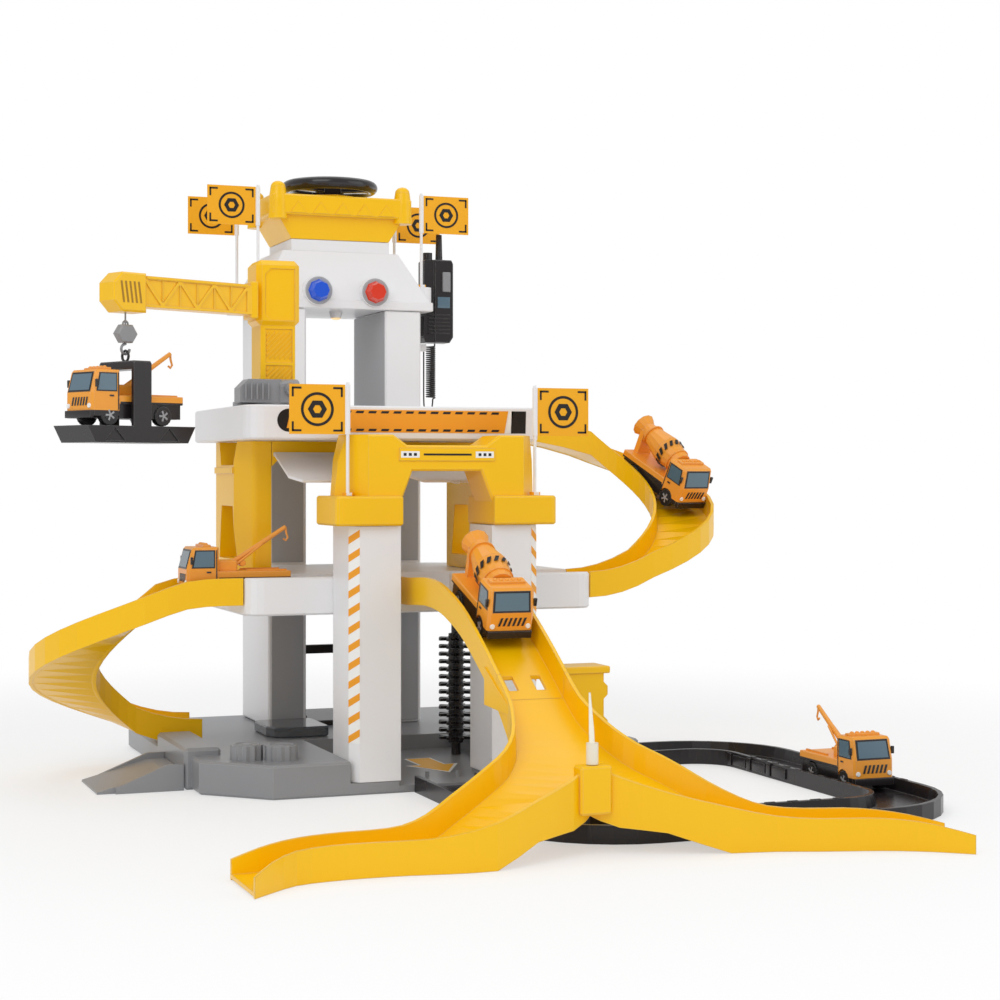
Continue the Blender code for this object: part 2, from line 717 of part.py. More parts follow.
def frustum(lower, upper):
    """A body between two level rectangles, each (x0, x1, y0, y1, z)."""
    sections = []
    for x0, x1, y0, y1, z in (lower, upper):
        sections.append(((x0, y0, z), (x1, y0, z), (x1, y1, z), (x0, y1, z)))
    return loft(sections)


def smooth(rows, steps):
    """Rows of numbers joined by a smooth curve through them, with steps pieces to a row."""
    made = []
    last = len(rows) - 1
    for index in range(last):
        before = rows[max(index - 1, 0)]
        here = rows[index]
        ahead = rows[index + 1]
        beyond = rows[min(index + 2, last)]
        for step in range(steps):
            t = step / steps
            row = []
            for a, b, c, d in zip(before, here, ahead, beyond):
                square = (2 * a - 5 * b + 4 * c - d) * t ** 2
                cube = (3 * b - a - 3 * c + d) * t ** 3
                row.append((2 * b + (c - a) * t + square + cube) / 2)
            made.append(row)
    made.append(list(rows[-1]))
    return made


def channel(stations, wall=CHUTE_WALL, sheet=CHUTE_SHEET, draft=CHUTE_DRAFT):
    """An open chute between two edges. A station is (left x, left y, right x, right y, floor, top, foot)."""
    sections = []
    for left_x, left_y, right_x, right_y, floor, top, foot in stations:
        left = Vector((left_x, left_y))
        right = Vector((right_x, right_y))
        across = (right - left).normalized()
        corners = (
            (left, top), (left + across * wall, top), (left + across * (wall + draft), floor),
            (right - across * (wall + draft), floor), (right - across * wall, top), (right, top),
            (right, foot), (right - across * wall, foot), (right - across * (wall + draft), floor - sheet),
            (left + across * (wall + draft), floor - sheet), (left + across * wall, foot), (left, foot),
        )
        sections.append([(place.x, place.y, height) for place, height in corners])
    return loft(sections)


def joined(shapes, name):
    """One mesh from several shapes."""
    whole = bmesh.new()
    for shape in shapes:
        part = bpy.data.meshes.new("part")
        shape.to_mesh(part)
        shape.free()
        whole.from_mesh(part)
        bpy.data.meshes.remove(part)
    mesh = bpy.data.meshes.new(name)
    whole.to_mesh(mesh)
    whole.free()
    return mesh


def tool(name, shapes, holder, offset):
    """A hidden object that joins or cuts its neighbour."""
    mesh = joined(shapes, name)
    mesh.transform(Matrix.Translation(-offset))
    helper = bpy.data.objects.new(name, mesh)
    helper.location = offset
    helper.parent = holder
    helper.hide_render = True
    helper.display_type = "WIRE"
    CUTTERS.objects.link(helper)
    return helper


def make(name, colour, shapes, cuts=(), origin=(0, 0, 0), holder=None):
    """One named sub-part: the shapes fused, less the cuts, with its origin where it turns or stands."""
    offset = Vector(origin)
    mesh = joined(shapes[:1], name)
    mesh.transform(Matrix.Translation(-offset))
    mesh.materials.append(new_material(name, colour))
    part = bpy.data.objects.new(name, mesh)
    part.location = offset
    part.parent = holder
    GARAGE.objects.link(part)
    if len(shapes) > 1:
        fuse = part.modifiers.new("fuse", "BOOLEAN")
        fuse.operation = "UNION"
        fuse.solver = "EXACT"
        fuse.use_self = True
        fuse.object = tool(name + "_more", shapes[1:], holder, offset)
    if cuts:
        cut = part.modifiers.new("cut", "BOOLEAN")
        cut.operation = "DIFFERENCE"
        cut.solver = "EXACT"
        cut.use_self = True
        cut.object = tool(name + "_cut", cuts, holder, offset)
    mesh.shade_smooth()
    mesh.set_sharp_from_angle(angle=SHARP_ANGLE)
    return part


def empty(name, place, turn=(0, 0, 0)):
    holder = bpy.data.objects.new(name, None)
    holder.location = place
    holder.rotation_euler = turn
    GARAGE.objects.link(holder)
    return holder


def mirrored(outline):
    """The same outline on the other side of x = 0."""
    return [(-x, y) for x, y in reversed(outline)]


def spans(low, high, side):
    """The stretch from low to high on the right (side 1) or mirrored to the left (side -1)."""
    return (low, high) if side > 0 else (-high, -low)


def build_base():
    half = BASE_HALF
    corner = BASE_CORNER
    outline = (
        (-half, BASE_FRONT + corner), (-half + corner, BASE_FRONT), (half - corner, BASE_FRONT),
        (half, BASE_FRONT + corner), (half, BASE_REAR - corner), (half - corner, BASE_REAR),
        (-half + corner, BASE_REAR), (-half, BASE_REAR - corner),
    )
    plateau = (
        (half, PLATEAU_REAR), (INNER_LANE_HALF, PLATEAU_REAR), (INNER_LANE_HALF, BASE_FRONT),
        (half - corner, BASE_FRONT), (half, BASE_FRONT + corner),
    )
    shapes = [
        prism(outline, (0, BASE_TOP), edge=BASE_EDGE),
        prism(plateau, (LANE_FLOOR, PLATEAU_TOP), edge=BASE_EDGE),
        prism(mirrored(plateau), (LANE_FLOOR, PLATEAU_TOP), edge=BASE_EDGE),
        box(*GUIDE_BLOCK, (0, GUIDE_BLOCK_TOP), edge=GUIDE_BLOCK_EDGE),
    ]
    for x, y in BOLLARD_PLACES:
        shapes.append(fluted_cap(x, y))
    over = PLATEAU_TOP + 2 * CUT_OVER
    gate_rear = PILLAR_FRONT + PILLAR_DEPTH
    gate_half = PILLAR_INNER + GATE_LANE_SPARE
    road_half = ROAD_WIDTH / 2
    seats = [
        box(spans(PILLAR_INNER - SEAT_GAP, PILLAR_OUTER + SEAT_GAP, side),
            (BASE_FRONT - CUT_OVER, gate_rear + SEAT_GAP), (PILLAR_LEDGE, over))
        for side in (-1, 1)
    ]
    lanes = [
        box((-gate_half, gate_half), (BASE_FRONT - CUT_OVER, gate_rear + GATE_LANE_SPARE),
            (LANE_FLOOR, over)),
        box((-INNER_LANE_HALF, INNER_LANE_HALF), (gate_rear, INNER_LANE_REAR), (LANE_FLOOR, over)),
        box((INNER_LANE_HALF - CUT_OVER / 2, BASE_HALF + CUT_OVER),
            (ROAD_FAR_Y - road_half, ROAD_FAR_Y + road_half), (LANE_FLOOR, over)),
    ]
    base = make("base_plate", GRAY, shapes, seats + lanes)
    pegs = [
        rod((x, y, LANE_FLOOR - LANE_PEG_ROOT), (x, y, LANE_FLOOR + LANE_PEG_RISE), LANE_PEG_RADIUS, 8)
        for x, y in LANE_PEGS
    ]
    post = base.modifiers.new("pegs", "BOOLEAN")
    post.operation = "UNION"
    post.object = tool("lane_pegs", pegs, None, Vector((0, 0, 0)))


def fluted_cap(x, y):
    """A round cap with flutes round its rim."""
    outline = []
    for index in range(BOLLARD_FLUTES * 2):
        angle = math.pi * index / BOLLARD_FLUTES
        radius = BOLLARD_RADIUS if index % 2 else BOLLARD_RADIUS - FLUTE_DEPTH
        outline.append((x + radius * math.cos(angle), y + radius * math.sin(angle)))
    return prism(outline, (PLATEAU_TOP - BOLLARD_ROOT, PLATEAU_TOP + BOLLARD_RISE))


def build_ground_pieces():
    """The clear cover by the lift, the entry ramp and the yellow booth."""
    plate = rounded((
        (COVER_X[0], COVER_Y[0], COVER_CORNER), (COVER_X[1], COVER_Y[0], COVER_CORNER / 3),
        (COVER_X[1], COVER_Y[1], COVER_CORNER / 3), (COVER_X[0], COVER_Y[1], COVER_CORNER / 3),
    ), 2)
    make("cover_plate", SMOKE, [prism(plate, (BASE_TOP + SEAT_GAP, COVER_TOP), edge=COVER_EDGE)])

    tip = ENTRY_TIP_X
    join = ENTRY_JOIN_X
    near, far = ENTRY_Y
    flat = join - ENTRY_FLAT
    profile = ((tip, 0), (join, 0), (join, ENTRY_RISE), (flat, ENTRY_RISE), (tip, ENTRY_TIP_RISE))
    kerb = (
        (tip + ENTRY_FLAT, 0), (join, 0), (join, ENTRY_RISE + ENTRY_KERB_RISE),
        (flat, ENTRY_RISE + ENTRY_KERB_RISE), (tip + ENTRY_FLAT, ENTRY_KERB_RISE),
    )
    shapes = [
        prism(profile, (near, far), "XZ"),
        prism(kerb, (near - ENTRY_KERB_WIDTH, near + SEAT_GAP), "XZ"),
        prism(kerb, (far - SEAT_GAP, far + ENTRY_KERB_WIDTH), "XZ"),
    ]
    hole_x = join - ENTRY_HOLE_INSET
    hole_y = near + ENTRY_HOLE_INSET
    hole = rod((hole_x, hole_y, -ENTRY_RISE), (hole_x, hole_y, 2 * ENTRY_RISE), ENTRY_HOLE_RADIUS, 12)
    make("entry_ramp", GRAY, shapes, [hole])

    left, right = BOOTH_X
    front, rear = BOOTH_Y
    depth = BOOTH_NOTCH
    notch = right - depth
    foot = PLATEAU_TOP + SEAT_GAP
    window_foot, window_top, groove = BOOTH_NOTCH_Z
    shoulder = BOOTH_TOP - BOOTH_CAP / 2
    body = (
        (left, foot), (right, foot), (right, window_foot), (notch, window_foot + depth),
        (notch, window_top - depth), (right, window_top),
        (right, groove), (notch, groove + depth), (notch, shoulder), (left, shoulder),
    )
    out = BOOTH_OVERHANG
    cap_z = (BOOTH_TOP - BOOTH_CAP, BOOTH_TOP)
    cap = box((left - out, right + out), (front - out, rear + out), cap_z, out / 2)
    make("service_booth", YELLOW, [prism(body, (front, rear), "XZ"), cap])


def build_decks():
    rear = COLUMN_FRONT - SEAT_GAP
    rear_half = COLUMN_OUTER + DECK_REAR_FLARE
    outline = rounded((
        (-DECK_HALF, DECK_FRONT, DECK_CORNER), (DECK_HALF, DECK_FRONT, DECK_CORNER),
        (DECK_HALF, DECK_SIDE_REAR, DECK_CORNER), (rear_half, rear, 0),
        (-rear_half, rear, 0), (-DECK_HALF, DECK_SIDE_REAR, DECK_CORNER),
    ))
    half_lane = LANE_WIDTH / 2
    lane = (FRONT_LANE_Y - half_lane, FRONT_LANE_Y + half_lane)
    over = CUT_OVER
    cuts = [
        box((-DECK_HALF - over, DECK_HALF + over), lane, (LANE_LEVEL_1, DECK_1_TOP + over)),
        box((-half_lane, half_lane), (DECK_FRONT - over, FRONT_LANE_Y), (LANE_LEVEL_1, DECK_1_TOP + over)),
    ]
    make("deck_1", WHITE, [prism(outline, (DECK_1_TOP - DECK_1_THICK, DECK_1_TOP), edge=DECK_EDGE)], cuts)
    outline = rounded((
        (-DECK_HALF, DECK_FRONT, DECK_CORNER), (DECK_2_RIGHT, DECK_FRONT, DECK_CORNER),
        (DECK_2_RIGHT, REAR_LANE_Y + CHUTE_WIDTH / 2 + DECK_REAR_FLARE, DECK_CORNER / 4),
        (rear_half, rear, 0),
        (-rear_half, rear, 0), (-DECK_HALF, DECK_SIDE_REAR, DECK_CORNER),
    ))
    cuts = [
        box((REAR_LANE_START_X, DECK_2_RIGHT + over), (REAR_LANE_Y - half_lane, REAR_LANE_Y + half_lane),
            (LANE_LEVEL_2, DECK_2_TOP + over)),
    ]
    make("deck_2", WHITE, [prism(outline, (DECK_2_TOP - DECK_2_THICK, DECK_2_TOP), edge=DECK_EDGE)], cuts)


def build_gate():
    front = PILLAR_FRONT
    rear = front + PILLAR_DEPTH
    foot = PILLAR_LEDGE + SEAT_GAP
    corner = PILLAR_CHAMFER
    outline = (
        (PILLAR_INNER, front), (PILLAR_OUTER - corner, front), (PILLAR_OUTER, front + corner),
        (PILLAR_OUTER, rear), (PILLAR_INNER, rear),
    )
    make("gate_pillar_right", WHITE, [prism(outline, (foot, PILLAR_TOP))])
    make("gate_pillar_left", WHITE, [prism(mirrored(outline), (foot, PILLAR_TOP))])

    half = ARCH_CAP_HALF
    cap = rounded((
        (PILLAR_INNER, ARCH_CAP_FRONT, 0), (half, ARCH_CAP_FRONT, ARCH_CAP_CORNER),
        (half, ARCH_CAP_REAR, ARCH_CAP_CORNER), (PILLAR_INNER, ARCH_CAP_REAR, 0),
    ), 3)
    low = ARCH_CAP_TOP - ARCH_LAP
    shoulder = ARCH_SHOULDER - ARCH_SHOULDER_LEAN
    right_face = (
        (PILLAR_INNER, low), (ARCH_SHOULDER, low), (shoulder, ARCH_SHOULDER_TOP),
        (ARCH_HUMP_X[1], ARCH_HUMP_TOP), (ARCH_HUMP_X[0], ARCH_HUMP_TOP), (ARCH_MIDDLE_HALF, ARCH_TOP),
        (-ARCH_MIDDLE_HALF, ARCH_TOP), (-ARCH_HUMP_X[0], ARCH_HUMP_TOP), (-ARCH_HUMP_X[1], ARCH_HUMP_TOP),
        (-shoulder, ARCH_SHOULDER_TOP), (-ARCH_SHOULDER, low), (-PILLAR_INNER, low),
        (-ARCH_OPENING_HALF, ARCH_OPENING_TOP), (ARCH_OPENING_HALF, ARCH_OPENING_TOP),
    )
    sign = box((-SIGN_HALF, SIGN_HALF), (ARCH_FRONT - SIGN_RISE, ARCH_FRONT + ARCH_LAP), SIGN_Z)
    shapes = [
        prism(right_face, (ARCH_FRONT, ARCH_REAR), "XZ", edge=ARCH_EDGE),
        prism(cap, (PILLAR_TOP + SEAT_GAP, ARCH_CAP_TOP), edge=ARCH_EDGE),
        prism(mirrored(cap), (PILLAR_TOP + SEAT_GAP, ARCH_CAP_TOP), edge=ARCH_EDGE),
        sign,
    ]
    (near_x, near_y), (far_x, far_y) = ARCH_NOTCH
    notch = (
        (near_x, near_y), (half + ARCH_LAP, near_y), (half + ARCH_LAP, far_y), (far_x, far_y),
    )
    over = (ARCH_CAP_TOP, ARCH_HUMP_TOP + ARCH_LAP)
    make("gate_arch", YELLOW, shapes, [prism(notch, over), prism(mirrored(notch), over)])
    for side, name in ((-1, "left"), (1, "right")):
        place = (side * GATE_FLAG_X, GATE_FLAG_Y)
        flag("gate_flag_" + name, place, ARCH_CAP_TOP, GATE_FLAG_TOP, GATE_FLAG_SIZE, side)


def flag(name, place, seat, top, size, side):
    """A pole on a small round foot, with a stiff flag that points to one side."""
    x, y = place
    foot = seat + SEAT_GAP
    cloth = spans(FLAG_SLEEVE_RADIUS / 2, size[0], side)
    shapes = [
        rod((x, y, foot), (x, y, top + FLAG_POLE_TIP), FLAG_POLE_RADIUS, 8),
        rod((x, y, foot), (x, y, foot + FLAG_SEAT_RISE), FLAG_SEAT_RADIUS, 12),
        rod((x, y, top - size[1]), (x, y, top), FLAG_SLEEVE_RADIUS, 8),
        box((x + cloth[0], x + cloth[1]), (y - FLAG_THICK / 2, y + FLAG_THICK / 2), (top - size[1], top)),
    ]
    make(name, FLAG_ORANGE, shapes, origin=(x, y, foot))


def build_storey():
    foot = DECK_1_TOP + SEAT_GAP
    top = DECK_2_TOP - DECK_2_THICK - SEAT_GAP
    front = WALL_FRONT
    for name, side, outer, door_side in (
        ("storey_wall_left", -1, WALL_OUTER, -WALL_LEFT_DOOR_SIDE),
        ("storey_wall_right", 1, WALL_RIGHT_OUTER, WALL_RIGHT_DOOR_SIDE),
    ):
        inner = outer - WALL_THICK
        outline = rounded((
            (inner, WALL_REAR, 0), (inner, front + WALL_TURN - WALL_TURN_STEP, 0),
            (door_side, front + DOOR_BEAM_DEPTH, 0), (door_side, front, 0),
            (outer - WALL_FRONT_INSET, front, WALL_CORNER), (outer, front + WALL_TURN, 0),
            (outer, WALL_REAR, 0),
        ), 3)
        if side < 0:
            outline = mirrored(outline)
        sill = box(spans(outer - SILL_LAP, outer + SILL_RISE, side), (front + WALL_TURN, WALL_REAR), SILL_Z)
        cuts = [
            prism(window, spans(inner - SILL_LAP, outer + SILL_LAP, side), "YZ")
            for window in (UPPER_WINDOW, LOWER_WINDOW)
        ]
        make(name, YELLOW, [prism(outline, (foot, top)), sill], cuts)

    left_side = WALL_LEFT_DOOR_SIDE + SEAT_GAP
    right_side = WALL_RIGHT_DOOR_SIDE - SEAT_GAP
    post_left, post_right = DOOR_POST
    head = DOOR_HEAD
    spring = head - DOOR_CORNER
    corner = DOOR_CORNER
    face = (
        (left_side, top), (left_side, spring), (left_side + corner, head), (post_left - corner, head),
        (post_left, spring), (post_left, foot), (post_right, foot), (post_right, spring),
        (post_right + corner, head),
        (right_side - corner, head), (right_side, spring), (right_side, top),
    )
    make("door_frame", YELLOW, [prism(face, (front, front + DOOR_BEAM_DEPTH), "XZ")])
    door("garage_door_left", left_side, post_left)
    door("garage_door_right", post_right, right_side)


def door(name, left, right):
    """A top-hung door, shown swung up under the deck's front edge."""
    left += DOOR_SIDE_GAP
    right -= DOOR_SIDE_GAP
    corner = DOOR_CHAMFER
    half = DOOR_THICK / 2
    outline = (
        (left, 0), (right, 0), (right, -DOOR_LENGTH + corner), (right - corner, -DOOR_LENGTH),
        (left + corner, -DOOR_LENGTH), (left, -DOOR_LENGTH + corner),
    )
    rib_end = -DOOR_LENGTH + corner
    shapes = [
        prism(outline, (-half, half), edge=half / 3),
        rod((left, 0, 0), (right, 0, 0), DOOR_BARREL, 10),
        box((left + corner, right - corner), (rib_end - DOOR_THICK, rib_end), (-half - DOOR_RIB, -half / 2)),
        ring(((left + right) / 2, -DOOR_LENGTH, 0), DOOR_RING_RADIUS, DOOR_RING_TUBE, steps=12),
    ]
    hinge = (0, WALL_FRONT - DOOR_BARREL - SEAT_GAP, DOOR_HINGE_Z)
    holder = empty(name + "_hinge", hinge, (DOOR_OPEN_TILT, 0, 0))
    make(name, WHITE, shapes, holder=holder)


def build_tower():
    foot = BASE_TOP + SEAT_GAP
    top = HEAD_FOOT - SEAT_GAP
    anchor_y = CORD_ROUTE[-1][1]
    for side, name in ((-1, "left"), (1, "right")):
        width = spans(COLUMN_INNER, COLUMN_OUTER, side)
        shapes = [box(width, (COLUMN_FRONT, COLUMN_REAR), (foot, top), DECK_EDGE)]
        if side > 0:
            depth = (anchor_y - ANCHOR_HALF, anchor_y + ANCHOR_HALF)
            shapes.append(box((COLUMN_OUTER - ANCHOR_HALF, ANCHOR_X), depth, ANCHOR_Z))
        make("tower_column_" + name, WHITE, shapes)

    lip_top = HEAD_FOOT + HEAD_LIP
    lap = DECK_EDGE
    neck = (HEAD_TOP_FRONT + lap, HEAD_TOP_REAR - lap)
    shapes = [
        frustum((-HEAD_LIP_HALF + lap, HEAD_LIP_HALF - lap, HEAD_FRONT + lap, HEAD_REAR - lap, lip_top - lap),
                (-HEAD_TOP_HALF, HEAD_TOP_HALF, HEAD_TOP_FRONT, HEAD_TOP_REAR, HEAD_TOP)),
        box((-HEAD_LIP_HALF, HEAD_LIP_HALF), (HEAD_FRONT, HEAD_REAR), (HEAD_FOOT, lip_top), lap / 2),
        box((-NECK_HALF, NECK_HALF), neck, (HEAD_TOP - lap, NECK_TOP)),
        rod((0, CEILING_LAMP_Y, HEAD_FOOT + lap), (0, CEILING_LAMP_Y, HEAD_FOOT - CEILING_LAMP_DROP),
            CEILING_LAMP_RADIUS, 12, CEILING_LAMP_RADIUS * CEILING_LAMP_TAPER),
    ]
    for x in (-LAMP_X, LAMP_X):
        shapes.append(rod((x, HEAD_TOP_FRONT, LAMP_Z), (x, BEZEL_FACE, LAMP_Z), BEZEL_RADIUS, 16))
    for x in (-SOCKET_X, SOCKET_X):
        for y in SOCKET_Y:
            shapes.append(rod((x, y, HEAD_FOOT + lap), (x, y, SOCKET_TOP), SOCKET_RADIUS, 14))
    make("tower_head", WHITE, shapes)
    for name, x, colour in (("lamp_blue", -LAMP_X, BLUE), ("lamp_red", LAMP_X, RED)):
        seat = BEZEL_FACE - SEAT_GAP
        face = seat - LAMP_DEPTH
        gem = rod((x, seat, LAMP_Z), (x, face, LAMP_Z), LAMP_RADIUS, LAMP_SIDES, LAMP_RADIUS * LAMP_TAPER)
        make(name, colour, [gem])
    number = 0
    for x in (-SOCKET_X, SOCKET_X):
        for y in SOCKET_Y:
            number += 1
            side = 1 if x > 0 else -1
            flag("tower_flag_%d" % number, (x, y), SOCKET_TOP, TOWER_FLAG_TOP, TOWER_FLAG_SIZE, side)


def build_tray():
    """The funnel and tray that carry the steering wheel, and the wheel itself."""
    top = TRAY_FOOT + TRAY_RISE
    lap = DECK_EDGE
    x, y = WHEEL_CENTRE
    half = NECK_HALF
    wide = TRAY_HALF - FUNNEL_STEP
    shapes = [
        frustum((-half, half, HEAD_TOP_FRONT + lap, HEAD_TOP_REAR - lap, NECK_TOP + SEAT_GAP),
                (-wide, wide, TRAY_FRONT + FUNNEL_STEP, TRAY_REAR - FUNNEL_STEP, TRAY_FOOT + lap)),
        box((-TRAY_HALF, TRAY_HALF), (TRAY_FRONT, TRAY_REAR), (TRAY_FOOT, top), lap),
        rod((x, y, top - lap), (x, y, top + WHEEL_RING_RISE), WHEEL_RING_RADIUS, 8, WHEEL_RING_RADIUS - lap),
    ]
    for knob_x, knob_y in KNOB_PLACES:
        rise = KNOB_TOP - top
        crown = [(KNOB_RADIUS * across, rise * up) for across, up in KNOB_PROFILE]
        profile = ((0, -lap), (KNOB_RADIUS, -lap), *crown, (0, rise))
        shapes.append(turned(profile, (knob_x, knob_y, top), 12))
    make("tower_tray", YELLOW, shapes)

    hub_foot = top + WHEEL_RING_RISE + SEAT_GAP
    hub_top = hub_foot + WHEEL_HUB_RISE
    shapes = [
        ring((x, y, hub_top - WHEEL_RIM_DROP), WHEEL_RIM_RADIUS, WHEEL_RIM_TUBE, steps=28, sides=8),
        rod((x, y, hub_foot), (x, y, hub_top), WHEEL_HUB_RADIUS, 16),
    ]
    for index in range(3):
        angle = math.radians(90 + 120 * index)
        across = Vector((-math.sin(angle), math.cos(angle), 0)) * SPOKE_HALF_WIDTH
        along = Vector((math.cos(angle), math.sin(angle), 0))
        sections = []
        for reach, width, foot_drop, top_drop in zip(SPOKE_REACH, SPOKE_WIDTH, SPOKE_FOOT_DROP, SPOKE_TOP_DROP):
            low = hub_top - foot_drop
            high = hub_top - top_drop
            middle = Vector((x, y, 0)) + along * WHEEL_RIM_RADIUS * reach
            side = across * width
            near = (middle - side).xy
            far = (middle + side).xy
            sections.append(((*near, low), (*far, low), (*far, high), (*near, high)))
        shapes.append(loft(sections))
    make("steering_wheel", BLACK, shapes, origin=(x, y, hub_foot))


def build_lift():
    """The lift's flat car with low side rails and a frame at its rear."""
    foot = BASE_TOP + SEAT_GAP
    half = COLUMN_INNER - SEAT_GAP
    frame_half = half - CAR_FRAME_INSET
    rail_half = half - CAR_RAIL_INSET
    rear = CAR_REAR - CAR_FRAME_INSET
    front = rear - CAR_POST
    shapes = [
        box((-half, half), (CAR_FRONT, CAR_REAR), (foot, foot + CAR_FLOOR), CAR_EDGE),
        box((-frame_half, frame_half), (front, rear), (CAR_FRAME_TOP - CAR_BAR, CAR_FRAME_TOP)),
    ]
    for side in (-1, 1):
        post = spans(frame_half - CAR_POST, frame_half, side)
        rail = spans(rail_half - CAR_RAIL_WIDTH, rail_half, side)
        shapes.append(box(post, (front, rear), (foot + CAR_LAP, CAR_FRAME_TOP - CAR_LAP)))
        shapes.append(box(rail, (CAR_FRONT + CAR_RAIL_SETBACK, rear),
                          (foot + 2 * CAR_LAP, foot + CAR_FLOOR + CAR_RAIL_RISE)))
    make("lift_car", BLACK, shapes, origin=(0, CAR_FRONT, foot))


def build_brush():
    x, y = BRUSH_CENTRE
    foot = LANE_FLOOR + SEAT_GAP
    top = DECK_1_TOP - DECK_1_THICK - SEAT_GAP
    last = BRUSH_FIRST_ROW + BRUSH_PITCH * (BRUSH_ROWS - 1)
    shapes = [
        rod((x, y, BRUSH_FIRST_ROW - BRUSH_CORE_OVER), (x, y, last + BRUSH_CORE_OVER), BRUSH_CORE, 16),
        rod((x, y, foot), (x, y, top), BRUSH_SHAFT, 12),
    ]
    for row in range(BRUSH_ROWS):
        level = BRUSH_FIRST_ROW + BRUSH_PITCH * row
        outline = []
        valley = math.pi / BRUSH_PRONGS
        for prong in range(BRUSH_PRONGS):
            middle = math.tau * prong / BRUSH_PRONGS
            for lean, radius in ((-PRONG_LEAN, BRUSH_TIP), (PRONG_LEAN, BRUSH_TIP), (valley, BRUSH_ROOT)):
                outline.append((x + radius * math.cos(middle + lean), y + radius * math.sin(middle + lean)))
        shapes.append(prism(outline, (level - BRUSH_ROW_THICK / 2, level + BRUSH_ROW_THICK / 2)))
    make("brush_roller", BLACK, shapes, origin=(x, y, foot))


def side_chute_stations(side, front_end, front_level, front_turn, rear_turn, rear_end, rear_level, ease):
    """Stations of a U-shaped side chute from its front-lane end, round the turn, to its rear-lane end."""
    half = CHUTE_WIDTH / 2
    turn_x = side * CHUTE_TURN_X
    centre = Vector((turn_x, FRONT_LANE_Y + CHUTE_TURN_RADIUS))
    straight = 4
    around = 16
    rows = []
    for step in range(straight):
        share = step / straight
        x = front_end + (turn_x - front_end) * share
        level = front_level + (front_turn - front_level) * share ** ease
        rows.append((x, FRONT_LANE_Y + half, x, FRONT_LANE_Y - half, level))
    for step in range(around + 1):
        angle = math.pi * step / around
        away = Vector((side * math.sin(angle), -math.cos(angle)))
        inner = centre + away * (CHUTE_TURN_RADIUS - half)
        outer = centre + away * (CHUTE_TURN_RADIUS + half)
        rows.append((*inner, *outer, front_turn + (rear_turn - front_turn) * step / around))
    for step in range(1, straight + 1):
        share = step / straight
        x = turn_x + (rear_end - turn_x) * share
        level = rear_level + (rear_turn - rear_level) * (1 - share) ** 2
        rows.append((x, REAR_LANE_Y - half, x, REAR_LANE_Y + half, level))
    return [(*edges, level, level + CHUTE_RISE, level - CHUTE_SHEET - CHUTE_SKIRT) for *edges, level in rows]


def build_side_chutes():
    join = DECK_HALF + SEAT_GAP
    base_level = BASE_TOP + SEAT_GAP + CHUTE_SHEET + CHUTE_SKIRT
    left = side_chute_stations(
        -1, -join, LANE_LEVEL_1, LEFT_TURN_TOP, LEFT_TURN_FOOT, -LEFT_END_X, base_level, LEFT_EASE,
    )
    make("chute_left", YELLOW, [channel(left)])
    rear_join = DECK_2_RIGHT + SEAT_GAP
    right = side_chute_stations(
        1, join, LANE_LEVEL_1, RIGHT_TURN_FOOT, RIGHT_TURN_TOP, rear_join, LANE_LEVEL_2, RIGHT_EASE,
    )
    make("chute_right", YELLOW, [channel(right)])


def build_front_chute():
    half = CHUTE_WIDTH / 2
    stations = [
        (-half, y, half, y, floor, floor + CHUTE_RISE, floor - CHUTE_SHEET - CHUTE_SKIRT)
        for y, floor in smooth(FRONT_CHUTE, 2)
    ]
    slots = [
        box((x - SLOT_WIDTH / 2, x + SLOT_WIDTH / 2), SLOT_Y, SLOT_Z) for x in (-SLOT_X, SLOT_X)
    ]
    make("chute_front", YELLOW, [channel(stations)], slots)


def fork_half(leg, flip):
    """One half of the fork, open at x = 0: half the trunk and one leg, drawn to the left or flipped right."""
    places = FORK_TRUNK + leg
    shares = (1.0,) * (len(places) - len(FORK_TIP_RISES)) + FORK_TIP_RISES
    rows = []
    for ((far_x, far_y), (near_x, near_y), floor, skirt), share in zip(places, shares):
        rows.append((far_x, far_y, near_x, near_y, floor, floor + CHUTE_RISE * share, floor - skirt))
    stations = [(*row[:6], max(row[6], 0.0)) for row in smooth(rows, FORK_STEPS)]
    half = channel(stations, sheet=FORK_SHEET)
    if flip:
        bmesh.ops.scale(half, vec=(-1, 1, 1), verts=half.verts)
    bmesh.ops.bisect_plane(
        half, geom=half.verts[:] + half.edges[:] + half.faces[:], plane_co=(0, 0, 0), plane_no=(1, 0, 0),
        clear_outer=not flip, clear_inner=flip, dist=WELD / 10,
    )
    return half


def build_fork():
    whole = joined([fork_half(FORK_LEFT_LEG, False), fork_half(FORK_RIGHT_LEG, True)], "fork")
    shape = bmesh.new()
    shape.from_mesh(whole)
    bmesh.ops.remove_doubles(shape, verts=shape.verts, dist=WELD)
    bmesh.ops.recalc_face_normals(shape, faces=shape.faces)
    block = box(FORK_BLOCK_X, FORK_BLOCK_Y, (FORK_BLOCK_FOOT, FORK_BLOCK_TOP), DECK_EDGE)
    make("chute_fork", YELLOW, [shape, block])


